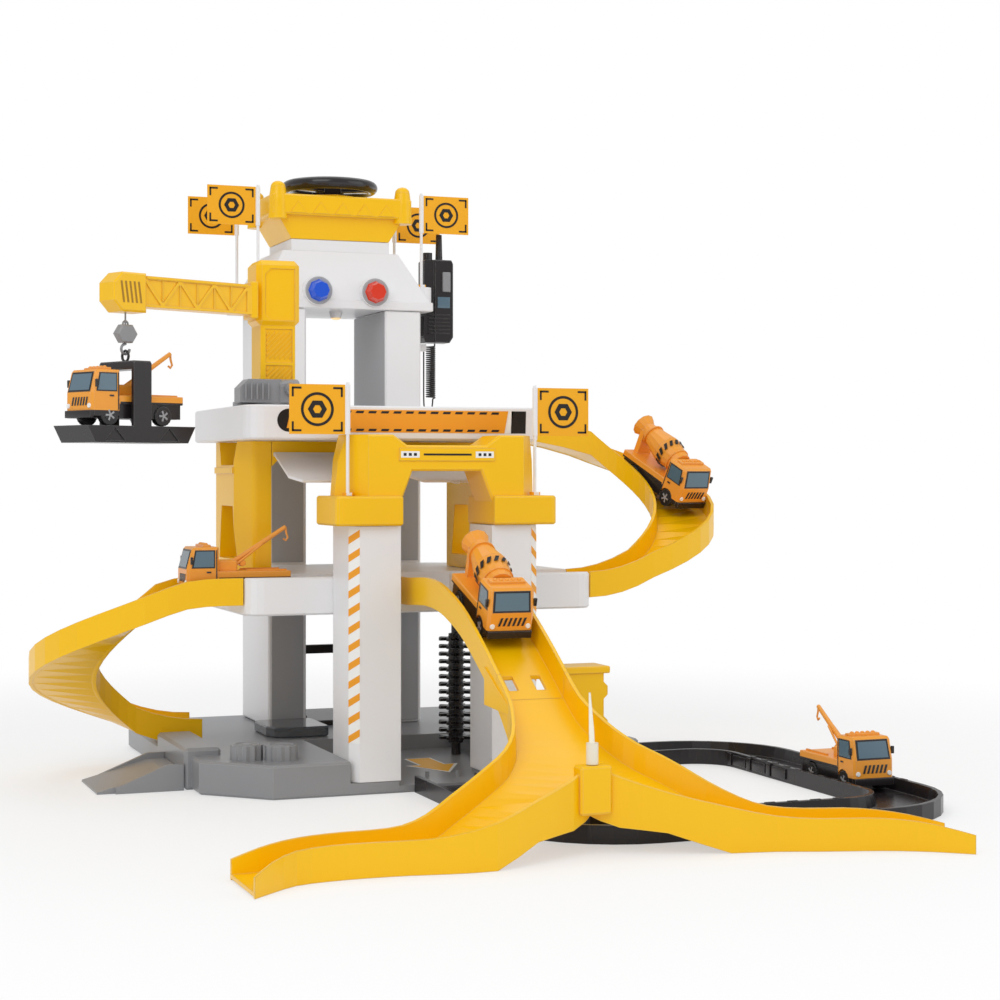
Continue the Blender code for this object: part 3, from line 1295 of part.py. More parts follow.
def build_fin():
    """The divider that swings on its pin to send trucks left or right."""
    foot = FORK_BLOCK_TOP + SEAT_GAP
    y = FIN_PIVOT_Y
    half = FIN_THICK / 2
    tip = half * FIN_TIP_SHARE
    root_share, *root = FIN_ROOT
    middle_reach, *middle = FIN_MIDDLE
    sections = []
    for reach, side, (low, high) in (
        (FIN_PIN_RADIUS * root_share, half, root), (middle_reach, half, middle), (FIN_LENGTH, tip, FIN_TIP),
    ):
        place = y + reach
        sections.append((
            (-side, place, foot + low), (side, place, foot + low), (side, place, foot + high),
            (-side, place, foot + high),
        ))
    pin = rod((0, y, foot), (0, y, foot + FIN_PIN_RISE), FIN_PIN_RADIUS, 14)
    blade = loft(sections)
    bmesh.ops.rotate(blade, cent=(0, y, foot), matrix=Matrix.Rotation(FIN_TURN, 3, "Z"), verts=blade.verts)
    make("lane_fin", IVORY, [pin, blade], origin=(0, y, foot))


def road_stations(path):
    """Channel stations along a path of (x, y) points, with the road's own width and flare."""
    points = [Vector(place) for place in path]
    half = ROAD_WIDTH / 2
    stations = []
    for index, here in enumerate(points):
        before = points[max(index - 1, 0)]
        after = points[min(index + 1, len(points) - 1)]
        heading = (after - before).normalized()
        left = Vector((-heading.y, heading.x))
        a = here + left * half
        b = here - left * half
        stations.append((a.x, a.y, b.x, b.y, ROAD_FLOOR, ROAD_WALL_TOP, 0.0))
    return stations


def arc(centre, radius, first, last, steps):
    return [
        (centre[0] + radius * math.cos(first + (last - first) * step / steps),
         centre[1] + radius * math.sin(first + (last - first) * step / steps))
        for step in range(steps + 1)
    ]


def build_road():
    r = ROAD_RADIUS
    quarter = math.pi / 2
    gap = SEAT_GAP
    sheet = ROAD_FLOOR - ROAD_UNDERSIDE
    front = [(0, BASE_FRONT - gap), (0, ROAD_SPLIT_FRONT)]
    near = [(0, ROAD_SPLIT_FRONT - gap)]
    near.extend(arc((r, ROAD_BEND_Y), r, math.pi, math.pi + quarter, 8))
    near.extend(arc((ROAD_SIDE_X - r, ROAD_BEND_Y), r, -quarter, 0, 8))
    near.append((ROAD_SIDE_X, ROAD_SPLIT_SIDE))
    side = [(ROAD_SIDE_X, ROAD_SPLIT_SIDE + gap)]
    side.extend(arc((ROAD_SIDE_X - r, ROAD_FAR_Y - r), r, 0, quarter, 8))
    side.append((BASE_HALF + gap, ROAD_FAR_Y))
    for name, path in (("road_front", front), ("road_near", near), ("road_side", side)):
        shape = channel(road_stations(path), wall=ROAD_WALL, sheet=sheet, draft=ROAD_FLARE)
        make(name, BLACK, [shape])


def build_crane():
    axis = empty("crane_axis", (*CRANE_AXIS, 0))
    foot = DECK_2_TOP + SEAT_GAP
    plate = foot + TURNTABLE_RISE
    front, rear = HOUSING_Y
    left, right = HOUSING_X
    lap = DECK_EDGE
    housing = (
        (left, plate - lap), (right, plate - lap), (right, HOUSING_TOP),
        (left + HOUSING_CHAMFER, HOUSING_TOP),
        (left, HOUSING_TOP - HOUSING_CHAMFER),
    )
    cover_centre = (front + rear) / 2
    cover_radius = (rear - front) / 2
    cover = [(front, plate - lap), (rear, plate - lap)]
    for step in range(9):
        angle = math.pi * step / 8
        drop = cover_radius * DRUM_COVER_CROWN * (1 - math.sin(angle))
        cover.append((cover_centre + cover_radius * math.cos(angle), DRUM_COVER_TOP - drop))
    shapes = [
        rod((0, 0, foot), (0, 0, plate), TURNTABLE_RADIUS, 28),
        prism(housing, (front + lap, rear), "XZ"),
        prism(cover, DRUM_COVER_X, "YZ"),
    ]
    make("crane_turntable", GRAY, shapes, holder=axis)

    knob_y = front - SEAT_GAP
    turn = empty("knob_axis", (CRANE_AXIS[0] + WINCH_KNOB_X, CRANE_AXIS[1] + knob_y, WINCH_KNOB_Z))
    length = WINCH_KNOB_LENGTH
    grip_half = WINCH_KNOB_RADIUS * WINCH_GRIP_SHARE
    grip = [
        rod((0, 0, 0), (0, -length, 0), WINCH_KNOB_RADIUS, 14, WINCH_KNOB_RADIUS * WINCH_KNOB_TAPER),
        box((-grip_half, grip_half), (-length - lap, -length + lap), (-lap / 2, lap / 2)),
    ]
    make("winch_knob", GRAY, grip, holder=turn)

    mast_foot = plate + SEAT_GAP
    shapes = [
        box(MAST_X, MAST_Y, (mast_foot, MAST_TOP + lap)),
        box(CRANE_HEAD_X, CRANE_HEAD_Y, (MAST_TOP, CRANE_HEAD_TOP), CRANE_HEAD_EDGE),
    ]
    make("crane_mast", YELLOW, shapes, panel_recesses(mast_foot), holder=axis)

    turn = Matrix.Rotation(JIB_ANGLE, 4, "Z")
    corner = TIP_BLOCK_CHAMFER
    tip = (
        (TIP_BLOCK_START, TIP_BLOCK_FOOT), (TIP_BLOCK_END - corner, TIP_BLOCK_FOOT),
        (TIP_BLOCK_END, TIP_BLOCK_FOOT + corner), (TIP_BLOCK_END, TIP_BLOCK_TOP - corner),
        (TIP_BLOCK_END - corner, TIP_BLOCK_TOP), (TIP_BLOCK_START, TIP_BLOCK_TOP),
    )
    shapes = [
        box((JIB_START, TIP_BLOCK_START + lap), (-JIB_HALF, JIB_HALF), (JIB_FOOT, JIB_TOP)),
        prism(tip, (-TIP_BLOCK_HALF, TIP_BLOCK_HALF), "XZ", edge=lap),
    ]
    cuts = truss_recesses()
    bore = (TIP_BLOCK_FOOT - lap, TIP_BLOCK_TOP + lap)
    cuts.append(rod((HOOK_REACH, 0, bore[0]), (HOOK_REACH, 0, bore[1]), STRING_BORE, 12))
    for shape in shapes + cuts:
        bmesh.ops.transform(shape, matrix=turn, verts=shape.verts)
    shapes.append(box(COLLAR_X, COLLAR_Y, COLLAR_Z, lap / 2))
    reach = JIB_HALF * 4
    head = box((COLLAR_X[1], COLLAR_X[1] + reach), (-reach, reach), (TIP_BLOCK_FOOT, CRANE_HEAD_TOP))
    make("crane_jib", YELLOW, shapes, cuts + [head], holder=axis)


def panel_recesses(foot):
    """Two shallow hatch panels on the mast's front and a cut-cornered panel on its head."""
    middle = (foot + MAST_TOP) / 2
    rim = PANEL_RIM
    depth = (MAST_Y[0] - rim, MAST_Y[0] + PANEL_DEPTH)
    panels = [
        box((MAST_X[0] + 2 * rim, MAST_X[1] - rim), depth, (low, high))
        for low, high in ((foot + 2 * rim, middle - rim / 2), (middle + rim / 2, MAST_TOP - rim))
    ]
    left, right = CRANE_HEAD_X
    low = MAST_TOP + 2 * rim
    high = CRANE_HEAD_TOP - 3 * rim
    outline = (
        (left + 3 * rim, low + 2 * rim), (left + 5 * rim, low), (right - 2 * rim, low),
        (right - 2 * rim, high), (left + 5 * rim, high), (left + 3 * rim, high - 2 * rim),
    )
    front = CRANE_HEAD_Y[0]
    panels.append(prism(outline, (front - rim, front + PANEL_DEPTH), "XZ"))
    return panels


def truss_recesses():
    """Shallow triangles on both sides of the jib, leaving its zigzag bars."""
    pitch = (TIP_BLOCK_START - TRUSS_START) / TRUSS_BAYS
    bar = TRUSS_BAR
    edge = bar / 4
    low = JIB_FOOT + bar
    high = JIB_TOP - bar
    cuts = []
    for side in (-1, 1):
        face = side * JIB_HALF
        for bay in range(TRUSS_BAYS):
            start = TRUSS_START + pitch * bay
            end = start + pitch
            if bay % 2:
                pair = (
                    ((start + bar, low), (end - edge, low), (end - edge, high - bar)),
                    ((start + edge, low + bar), (end - bar, high), (start + edge, high)),
                )
            else:
                pair = (
                    ((start + edge, low), (end - bar, low), (start + edge, high - bar)),
                    ((end - edge, low + bar), (end - edge, high), (start + bar, high)),
                )
            cuts.extend(prism(triangle, (face - TRUSS_DEPTH, face + TRUSS_DEPTH), "XZ") for triangle in pair)
    return cuts


def build_hoist():
    """The string with its block and hook, and the pallet that hangs from the hook by a ring."""
    x = CRANE_AXIS[0] + HOOK_REACH * math.cos(JIB_ANGLE)
    y = CRANE_AXIS[1] + HOOK_REACH * math.sin(JIB_ANGLE)
    middle = (BLOCK_TOP + BLOCK_FOOT) / 2
    corner_rise = BLOCK_RISE / math.sqrt(3)
    hexagon = []
    for index in range(6):
        angle = math.tau * index / 6
        hexagon.append((BLOCK_RADIUS * math.cos(angle), middle + corner_rise * math.sin(angle)))
    bend = HOOK_BEND_RADIUS
    hook_points = [(0, 0, BLOCK_FOOT + 2 * HOOK_TUBE)]
    for step in range(10):
        turn = math.radians(90 - 270 * step / 9)
        hook_points.append((bend * math.cos(turn), 0, HOOK_BEND_Z + bend * math.sin(turn)))
    holder = empty("hoist_axis", (x, y, 0), (0, 0, JIB_ANGLE))
    half = BLOCK_THICK / 2
    shapes = [
        prism(hexagon, (-half, half), "XZ", edge=BLOCK_THICK / 8),
        rod((0, 0, BLOCK_TOP - half), (0, 0, STRING_TOP), STRING_RADIUS, 8),
        ring((0, 0, BLOCK_TOP + HOOK_TUBE / 2), 2 * HOOK_TUBE, HOOK_TUBE * HOOK_EYE_SHARE, axis="Y",
             steps=10),
        tube(hook_points, HOOK_TUBE),
    ]
    make("hoist_hook", GRAY, shapes, holder=holder)

    length = PALLET_HALF_LENGTH
    width = PALLET_HALF_WIDTH
    top = PALLET_FOOT + PALLET_RISE
    profile = (
        (-length + PALLET_END_SLOPE, PALLET_FOOT), (length - PALLET_END_SLOPE, PALLET_FOOT), (length, top),
        (-length, top),
    )
    post = PALLET_POST_HALF
    thick = PALLET_POST_THICK
    shapes = [
        prism(profile, (-width, width), "XZ"),
        box((-post, post), (-width, width), (PALLET_BAR_FOOT, PALLET_BAR_TOP), thick / 4),
        ring((0, 0, RING_Z), RING_RADIUS, RING_TUBE, axis="X", steps=12),
    ]
    for side in (-1, 1):
        shapes.append(box((-post, post), spans(width - thick, width, side),
                          (PALLET_FOOT + thick, PALLET_BAR_TOP - thick / 2)))
    pockets = []
    pocket = (top - PALLET_RISE + thick / 2, top - thick / 2)
    for side in (-1, 1):
        face = side * width
        for index in (-1, 1):
            middle_x = index * length / 2
            triangle = (
                (middle_x - 3 * thick, pocket[0]), (middle_x + 3 * thick, pocket[0]), (middle_x, pocket[1]),
            )
            pockets.append(prism(triangle, (face - PALLET_POCKET_DEPTH, face + PALLET_POCKET_DEPTH), "XZ"))
    make("hoist_pallet", BLACK, shapes, pockets, holder=holder)


def build_handset():
    """The handset that hangs on the right column, with its aerial, dial and talk button."""
    left, right = HANDSET_X
    near, far = HANDSET_Y
    foot, top = HANDSET_Z
    bevel = HANDSET_EDGE
    middle_y = (near + far) / 2
    lap = DECK_EDGE
    back = (
        (left, foot + 2 * bevel), (left + bevel, foot), (HANDSET_SEAM_X, foot), (HANDSET_SEAM_X, top),
        (left + bevel, top), (left, top - bevel),
    )
    face = (
        (HANDSET_SEAM_X - lap, foot), (right - 2 * bevel, foot), (right, foot + 3 * bevel),
        (right, top - 2 * bevel), (right - bevel, top), (HANDSET_SEAM_X - lap, top),
    )
    shapes = [
        prism(back, (near + bevel, far - bevel), "XZ"),
        prism(face, (near, far), "XZ", edge=bevel / 2),
        rod((AERIAL_X, middle_y, top - lap), (AERIAL_X, middle_y, AERIAL_TOP), AERIAL_RADIUS, 12,
            AERIAL_RADIUS * AERIAL_TAPER),
        rod((DIAL_X, middle_y, top - lap), (DIAL_X, middle_y, top + DIAL_RISE), DIAL_RADIUS, 12),
        box((HANDSET_CLIP_X, left + bevel), (near + 2 * bevel, far - 2 * bevel), HANDSET_CLIP_Z),
    ]
    pocket = box(
        (BUTTON_X[0] - SEAT_GAP, BUTTON_X[1] + SEAT_GAP), (near - lap, near + BUTTON_POCKET),
        (BUTTON_Z[0] - SEAT_GAP, BUTTON_Z[1] + SEAT_GAP),
    )
    make("handset_body", BLACK, shapes, [pocket])
    inner = near + BUTTON_POCKET - SEAT_GAP - BUTTON_TRAVEL
    button = box(BUTTON_X, (near - BUTTON_PROUD, inner), BUTTON_Z, BUTTON_PROUD / 4)
    make("talk_button", GRAY, [button], origin=(sum(BUTTON_X) / 2, near, sum(BUTTON_Z) / 2))


def cord_points():
    """The cord's centre line: a straight stub, the curls, then the free lead up to the column."""
    x, y = CURL_AXIS
    start = HANDSET_Z[0] - SEAT_GAP
    points = [(x + CURL_RADIUS, y, start), (x + CURL_RADIUS, y, start - CORD_STUB)]
    total = CURL_COUNT * CURL_STEPS
    for step in range(total + 1):
        angle = math.tau * step / CURL_STEPS
        level = CURL_TOP + (CURL_FOOT - CURL_TOP) * step / total
        points.append((x + CURL_RADIUS * math.cos(angle), y + CURL_RADIUS * math.sin(angle), level))
    points.extend(tuple(row) for row in smooth(CORD_ROUTE, 2))
    points.append((*CORD_ROUTE[-1][:2], CORD_END_Z))
    return points


def build_cord():
    make("handset_cord", BLACK, [tube(cord_points(), CORD_RADIUS)])


def truck(name, kind, place, heading, pitch=0.0, apart=True):
    """A small truck on a frame of its own: body with cab and load, and two axles that turn in it."""
    holder = empty(name + "_place", place, (0, pitch, heading))
    half = TRUCK_HALF
    lap = CAB_EDGE
    side = half - lap / 4
    brow = TRUCK_FRONT - CAB_RAKE
    cab = (
        (CAB_REAR, TRUCK_SILL), (TRUCK_FRONT, TRUCK_SILL), (TRUCK_FRONT, CAB_WAIST),
        (brow, TRUCK_TOP - lap), (brow - lap, TRUCK_TOP), (CAB_REAR, TRUCK_TOP),
    )
    shapes = [
        prism(cab, (-half, half), "XZ", edge=CAB_EDGE),
        box((TRUCK_REAR + lap, CAB_REAR + lap), (-CHASSIS_HALF, CHASSIS_HALF), (TRUCK_SILL, CHASSIS_TOP)),
        box((TRUCK_REAR, CAB_REAR + lap), (-side, side), (CHASSIS_TOP - lap, TRUCK_DECK), lap / 4),
        box(LAMP_BAR_X, (2 * lap - half, half - 2 * lap), (TRUCK_TOP - lap, TRUCK_TOP + LAMP_BAR_RISE),
            lap / 4),
    ]
    shapes.extend(mixer_load() if kind == "mixer" else boom_load())
    wheels = {}
    arches = []
    for x, label in zip(AXLE_X, ("front", "rear")):
        axle = [rod((x, -TYRE_FACE + lap, TYRE_RADIUS), (x, TYRE_FACE - lap, TYRE_RADIUS), AXLE_RADIUS, 10)]
        bore = AXLE_RADIUS + SEAT_GAP
        arches.append(rod((x, -half - lap, TYRE_RADIUS), (x, half + lap, TYRE_RADIUS), bore, 10))
        for side in (-1, 1):
            ends = spans(TYRE_FACE - TYRE_WIDTH, TYRE_FACE, side)
            axle.append(rod((x, ends[0], TYRE_RADIUS), (x, ends[1], TYRE_RADIUS), TYRE_RADIUS, TYRE_SIDES))
            ends = spans(TYRE_FACE - TYRE_WIDTH - ARCH_CLEARANCE, half + lap, side)
            reach = TYRE_RADIUS + ARCH_CLEARANCE
            arches.append(rod((x, ends[0], TYRE_RADIUS), (x, ends[1], TYRE_RADIUS), reach, TYRE_SIDES))
        wheels[label] = (x, axle)
    if not apart:
        make(name, ORANGE, shapes + [shape for x, axle in wheels.values() for shape in axle], holder=holder)
        return
    make(name, ORANGE, shapes, arches, holder=holder)
    for label, (x, axle) in wheels.items():
        make(name + "_" + label + "_wheels", BLACK, axle, origin=(x, 0, TYRE_RADIUS), holder=holder)


def mixer_load():
    """A tilted mixer drum on its cradle, with a hopper at the rear."""
    start = Vector((DRUM_START[0], 0, DRUM_START[1]))
    end = Vector((DRUM_END[0], 0, DRUM_END[1]))
    bulge = start.lerp(end, DRUM_BULGE)
    hopper, mouth = (start.lerp(end, share) for share in HOPPER_SPAN)
    neck, rim = (DRUM_RADIUS * share for share in HOPPER_SHARES)
    deck = TRUCK_DECK - CAB_EDGE / 2
    cradle = (-CHASSIS_HALF / 2, CHASSIS_HALF / 2)
    return [
        rod(start, bulge, DRUM_RADIUS * DRUM_FRONT_SHARE, 14, DRUM_RADIUS),
        rod(bulge.lerp(start, DRUM_LAP), end, DRUM_RADIUS, 14, DRUM_RADIUS * DRUM_REAR_SHARE),
        rod(hopper, mouth, neck, 12, rim),
        box((end.x, end.x + 3 * CAB_EDGE), cradle, (deck, end.z)),
        box((start.x - 4 * CAB_EDGE, CAB_REAR + CAB_EDGE), cradle, (deck, start.z)),
    ]


def boom_load():
    """A winch box and a recovery boom that rises over the tail, with a small hook."""
    deck = TRUCK_DECK - CAB_EDGE / 2
    foot = Vector((BOOM_FOOT[0], 0, BOOM_FOOT[1]))
    tip = Vector((BOOM_TIP[0], 0, BOOM_TIP[1]))
    hook = [tip + Vector((x, 0, z)) for x, z in BOOM_HOOK]
    winch_half = CHASSIS_HALF * BOOM_BOX_SHARE
    return [
        box((foot.x - 5 * CAB_EDGE, CAB_REAR + CAB_EDGE), (-winch_half, winch_half),
            (deck, deck + 5 * CAB_EDGE), CAB_EDGE / 2),
        rod(foot, tip, BOOM_RADIUS, 8, BOOM_RADIUS * BOOM_TAPER),
        tube(hook, BOOM_RADIUS * BOOM_HOOK_SHARE),
    ]


def build_trucks():
    """Five trucks: on deck 1, on the right and front chutes, on the road and on the hanging pallet."""
    angle = MIXER_TURN
    x = CHUTE_TURN_X + MIXER_TURN_RADIUS * math.cos(angle)
    y = FRONT_LANE_Y + CHUTE_TURN_RADIUS + MIXER_TURN_RADIUS * math.sin(angle)
    hook_x = CRANE_AXIS[0] + HOOK_REACH * math.cos(JIB_ANGLE)
    hook_y = CRANE_AXIS[1] + HOOK_REACH * math.sin(JIB_ANGLE)
    truck("tow_truck_deck", "tow", (TOW_DECK_X, FRONT_LANE_Y, LANE_LEVEL_1 + SEAT_GAP), math.pi)
    truck("mixer_truck_side", "mixer", (x, y, MIXER_TURN_LEVEL), angle - math.pi / 2, MIXER_TURN_PITCH)
    truck("mixer_truck_front", "mixer", (0, *MIXER_FRONT_PLACE), -math.pi / 2, MIXER_FRONT_PITCH)
    truck("tow_truck_road", "tow", (ROAD_SIDE_X, TOW_ROAD_Y, ROAD_FLOOR + SEAT_GAP), -math.pi / 2)
    pallet = (hook_x, hook_y, PALLET_FOOT + PALLET_RISE + SEAT_GAP)
    truck("tow_truck_pallet", "tow", pallet, JIB_ANGLE, apart=False)


build_base()
build_ground_pieces()
build_decks()
build_gate()
build_storey()
build_tower()
build_tray()
build_lift()
build_brush()
build_side_chutes()
build_front_chute()
build_fork()
build_fin()
build_road()
build_crane()
build_hoist()
build_handset()
build_cord()
build_trucks()
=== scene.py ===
"""Looks of the toy parking garage: plastics, prints, truck cabs, wheels, the curly cord, camera and light."""

import math

import bmesh
import bpy
from mathutils import Euler, Matrix, Vector


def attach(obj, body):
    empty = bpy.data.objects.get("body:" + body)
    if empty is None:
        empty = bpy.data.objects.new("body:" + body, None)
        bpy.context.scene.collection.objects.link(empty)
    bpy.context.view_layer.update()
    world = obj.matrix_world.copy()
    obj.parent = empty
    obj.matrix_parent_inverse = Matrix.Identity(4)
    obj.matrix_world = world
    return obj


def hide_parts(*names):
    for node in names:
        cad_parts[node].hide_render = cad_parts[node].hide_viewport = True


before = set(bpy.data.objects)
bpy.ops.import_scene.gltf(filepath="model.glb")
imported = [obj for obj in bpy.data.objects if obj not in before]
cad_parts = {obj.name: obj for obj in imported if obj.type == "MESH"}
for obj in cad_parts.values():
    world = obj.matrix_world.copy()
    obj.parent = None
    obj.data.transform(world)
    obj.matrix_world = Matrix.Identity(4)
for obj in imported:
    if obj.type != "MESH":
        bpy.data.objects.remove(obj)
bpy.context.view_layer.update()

# Sizes and places are in millimetres, unless they are multiplied by MM or a comment says metres
MM = 0.001

# Thickness of a print, and how far it stands off its surface
PRINT = 0.15
STAND_OFF = 0.05

# The two sides of a middle plane
SIDES = (-1, 1)

# Corners of a square, as shares of its two sides
SQUARE = ((0, 0), (1, 0), (1, 1), (0, 1))


def metres(values):
    """Millimetres turned into metres."""
    return tuple(value * MM for value in values)


def on_side(side, span):
    """A span, or its mirror image, in rising order."""
    return sorted((side * span[0], side * span[1]))


# Colours

def colour(red, green, blue):
    """A display colour from 0 to 255, as the linear values that a shader takes."""
    made = []
    for value in (red, green, blue):
        share = value / 255
        made.append(share / 12.92 if share <= 0.04045 else ((share + 0.055) / 1.055) ** 2.4)
    return (*made, 1.0)


YELLOW = colour(255, 199, 0)
# Darker yellow for the jib tip's slots: painted shade
YELLOW_PAINTED_SHADE = colour(176, 128, 0)
WHITE = colour(240, 240, 242)
GRAY = colour(146, 147, 150)
PANEL_GRAY = colour(170, 171, 174)
BLACK = colour(36, 32, 34)
ORANGE = colour(247, 164, 54)
FLAG = colour(251, 178, 24)
IVORY = colour(242, 236, 218)
BLUE = colour(12, 84, 214)
RED = colour(222, 52, 16)
PALE_LIGHT = colour(255, 226, 170)
SMOKE = colour(120, 124, 130)
TYRE = colour(34, 33, 34)
CORD = colour(32, 30, 32)
GLASS = colour(84, 112, 128)
STRIPE = colour(246, 164, 36)
INK = colour(30, 28, 28)
INK_WHITE = colour(248, 248, 246)
INK_AMBER = colour(255, 192, 52)
PURE_WHITE = (1.0, 1.0, 1.0, 1.0)


# Materials

# Moulded plastic: noise waves per metre, the darkest tint, the peel's depth and the gloss
DRIFT_SCALE = 14.0
DRIFT_DARKEST = 0.965
PEEL_SCALE = 620.0
PEEL_DEPTH = 0.1 * MM
COAT_ROUGHNESS = 0.12
SPECULAR = 0.36

# Edges: their radius, and how far the normal has to turn before the plastic is painted paler, partly as
# rubbed wear and partly as a painted highlight
EDGE_RADIUS = 0.7 * MM
EDGE_SAMPLES = 2
EDGE_PALE_START = 0.99
EDGE_PALE_FULL = 0.8
EDGE_WEAR_AND_HIGHLIGHT_SHARE = 0.22


def node(tree, kind, values=(), **settings):
    """A shader node with its settings and the values of its inputs, by name or number."""
    made = tree.nodes.new(kind)
    for name, value in settings.items():
        setattr(made, name, value)
    for key, value in dict(values).items():
        made.inputs[key].default_value = value
    return made


def blend(tree, factor, under, over):
    """A plain colour laid over another one where the factor is on."""
    mix = node(tree, "ShaderNodeMix", {"B": over}, data_type="RGBA")
    tree.links.new(factor, mix.inputs["Factor"])
    tree.links.new(under, mix.inputs["A"])
    return mix.outputs["Result"]


def rubbed_and_highlit_edges(tree, under):
    """The normal with softened edges, and the colour, which is painted paler along them, partly as rubbed
    wear and partly as a painted highlight.
    """
    normal = node(tree, "ShaderNodeBevel", {"Radius": EDGE_RADIUS}, samples=EDGE_SAMPLES).outputs["Normal"]
    flat = node(tree, "ShaderNodeNewGeometry")
    agree = node(tree, "ShaderNodeVectorMath", operation="DOT_PRODUCT")
    tree.links.new(normal, agree.inputs[0])
    tree.links.new(flat.outputs["Normal"], agree.inputs[1])
    share = node(tree, "ShaderNodeMapRange",
                 {"From Min": EDGE_PALE_START, "From Max": EDGE_PALE_FULL, "To Max": EDGE_WEAR_AND_HIGHLIGHT_SHARE})
    tree.links.new(agree.outputs["Value"], share.inputs["Value"])
    # Blends the colour towards white along the edges: partly rubbed wear, partly a painted highlight
    return normal, blend(tree, share.outputs["Result"], under, PURE_WHITE)


def plastic(name, base, roughness, grain=0.06, spread=0.05, coat=0.06, mask=None, second=None, edges=True):
    """Moulded plastic with orange peel, uneven gloss, colour drift and rubbed edges, painted paler partly as
    wear and partly as a painted highlight; a mask turns a second colour on."""
    material = bpy.data.materials.new(name)
    material.use_nodes = True
    tree = material.node_tree
    shader = tree.nodes["Principled BSDF"]
    shader.inputs["Coat Weight"].default_value = coat
    shader.inputs["Coat Roughness"].default_value = COAT_ROUGHNESS
    shader.inputs["Specular IOR Level"].default_value = SPECULAR
    place = node(tree, "ShaderNodeTexCoord").outputs["Object"]
    drift = node(tree, "ShaderNodeTexNoise", {"Scale": DRIFT_SCALE, "Detail": 3.0})
    tree.links.new(place, drift.inputs["Vector"])
    gloss = node(tree, "ShaderNodeMapRange", {"To Min": roughness - spread, "To Max": roughness + spread})
    tree.links.new(drift.outputs["Fac"], gloss.inputs["Value"])
    tree.links.new(gloss.outputs["Result"], shader.inputs["Roughness"])
    darkest = (*(value * DRIFT_DARKEST for value in base[:3]), 1.0)
    tint = node(tree, "ShaderNodeMix", {"A": darkest, "B": base}, data_type="RGBA")
    tree.links.new(drift.outputs["Fac"], tint.inputs["Factor"])
    final = tint.outputs["Result"]
    if mask:
        final = blend(tree, mask(tree, place), final, second)
    bump = node(tree, "ShaderNodeBump", {"Strength": grain, "Distance": PEEL_DEPTH})
    if edges:
        normal, final = rubbed_and_highlit_edges(tree, final)
        tree.links.new(normal, bump.inputs["Normal"])
    tree.links.new(final, shader.inputs["Base Color"])
    peel = node(tree, "ShaderNodeTexNoise", {"Scale": PEEL_SCALE, "Detail": 2.0})
    tree.links.new(place, peel.inputs["Vector"])
    tree.links.new(peel.outputs["Fac"], bump.inputs["Height"])
    tree.links.new(bump.outputs["Normal"], shader.inputs["Normal"])
    return material


def clear(name, base, roughness, transmission, glow=0.0):
    """Clear tinted plastic, which may glow."""
    material = plastic(name, base, roughness, grain=0.02, spread=0.02, coat=0.3, edges=False)
    shader = material.node_tree.nodes["Principled BSDF"]
    shader.inputs["Transmission Weight"].default_value = transmission
    shader.inputs["Emission Color"].default_value = base
    shader.inputs["Emission Strength"].default_value = glow
    return material


def printed(name, base):
    """Flat print, which has no edges of its own."""
    return plastic(name, base, 0.45, grain=0.02, coat=0.0, edges=False)


def below(tree, value, limit):
    """On where a value is below a limit."""
    made = node(tree, "ShaderNodeMath", {1: limit}, operation="LESS_THAN")
    tree.links.new(value, made.inputs[0])
    return made.outputs[0]


def combine(tree, first, second, operation):
    made = node(tree, "ShaderNodeMath", operation=operation)
    tree.links.new(first, made.inputs[0])
    tree.links.new(second, made.inputs[1])
    return made.outputs[0]


def axes(tree, vector, place, turn=(0, 0, 0)):
    """The three coordinates in a frame that stands at place and is turned by turn."""
    mapped = node(tree, "ShaderNodeMapping", {"Location": place, "Rotation": turn}, vector_type="TEXTURE")
    tree.links.new(vector, mapped.inputs["Vector"])
    parts = node(tree, "ShaderNodeSeparateXYZ")
    tree.links.new(mapped.outputs["Vector"], parts.inputs[0])
    return parts.outputs


def near_x(x, reach):
    """A mask that is on within reach of a plane across x."""
    def build(tree, vector):
        across = axes(tree, vector, metres((x, 0, 0)))[0]
        size = node(tree, "ShaderNodeMath", operation="ABSOLUTE")
        tree.links.new(across, size.inputs[0])
        return below(tree, size.outputs[0], reach * MM)
    return build


# A truck's black parts: the top of its sill, and the front end and the top of its chassis
SILL_TOP = 9.5
CHASSIS_FRONT = 13.9
CHASSIS_TOP = 15.4


def truck_mask(place, turn):
    """On for a truck's sill, bumper and chassis, below the orange bodywork."""
    def build(tree, vector):
        along, _, up = axes(tree, vector, metres(place), turn)
        sill = below(tree, up, SILL_TOP * MM)
        behind = below(tree, along, CHASSIS_FRONT * MM)
        chassis = combine(tree, behind, below(tree, up, CHASSIS_TOP * MM), "MULTIPLY")
        return combine(tree, sill, chassis, "MAXIMUM")
    return build


# The columns are light gray within this reach of the middle plane, on the faces towards each other
COLUMN_INNER = 32.2

yellow = plastic("yellow plastic", YELLOW, 0.30)
painted_shade_yellow = plastic("painted slot shade", YELLOW_PAINTED_SHADE, 0.5)
white = plastic("white plastic", WHITE, 0.36)
gray = plastic("gray plastic", GRAY, 0.34, grain=0.10, coat=0.12)
panel_gray = plastic("light gray plastic", PANEL_GRAY, 0.40)
black = plastic("black plastic", BLACK, 0.28)
gloss_black = plastic("glossy black plastic", BLACK, 0.16, coat=0.3)
ivory = plastic("ivory plastic", IVORY, 0.34)
orange = plastic("orange plastic", ORANGE, 0.34)
smoke = clear("smoked clear plastic", SMOKE, 0.12, 0.55)
lamp_blue = clear("blue lamp", BLUE, 0.12, 0.25, 0.2)
lamp_red = clear("red lamp", RED, 0.12, 0.25, 0.2)
lamp_pale = clear("pale lamp", PALE_LIGHT, 0.2, 0.2, 0.5)
tyre = plastic("tyre rubber", TYRE, 0.7, grain=0.3, coat=0.0)
cord_black = plastic("cord rubber", CORD, 0.5, grain=0.1, coat=0.0)
glass = plastic("window glass", GLASS, 0.14, grain=0.0, coat=0.6, edges=False)
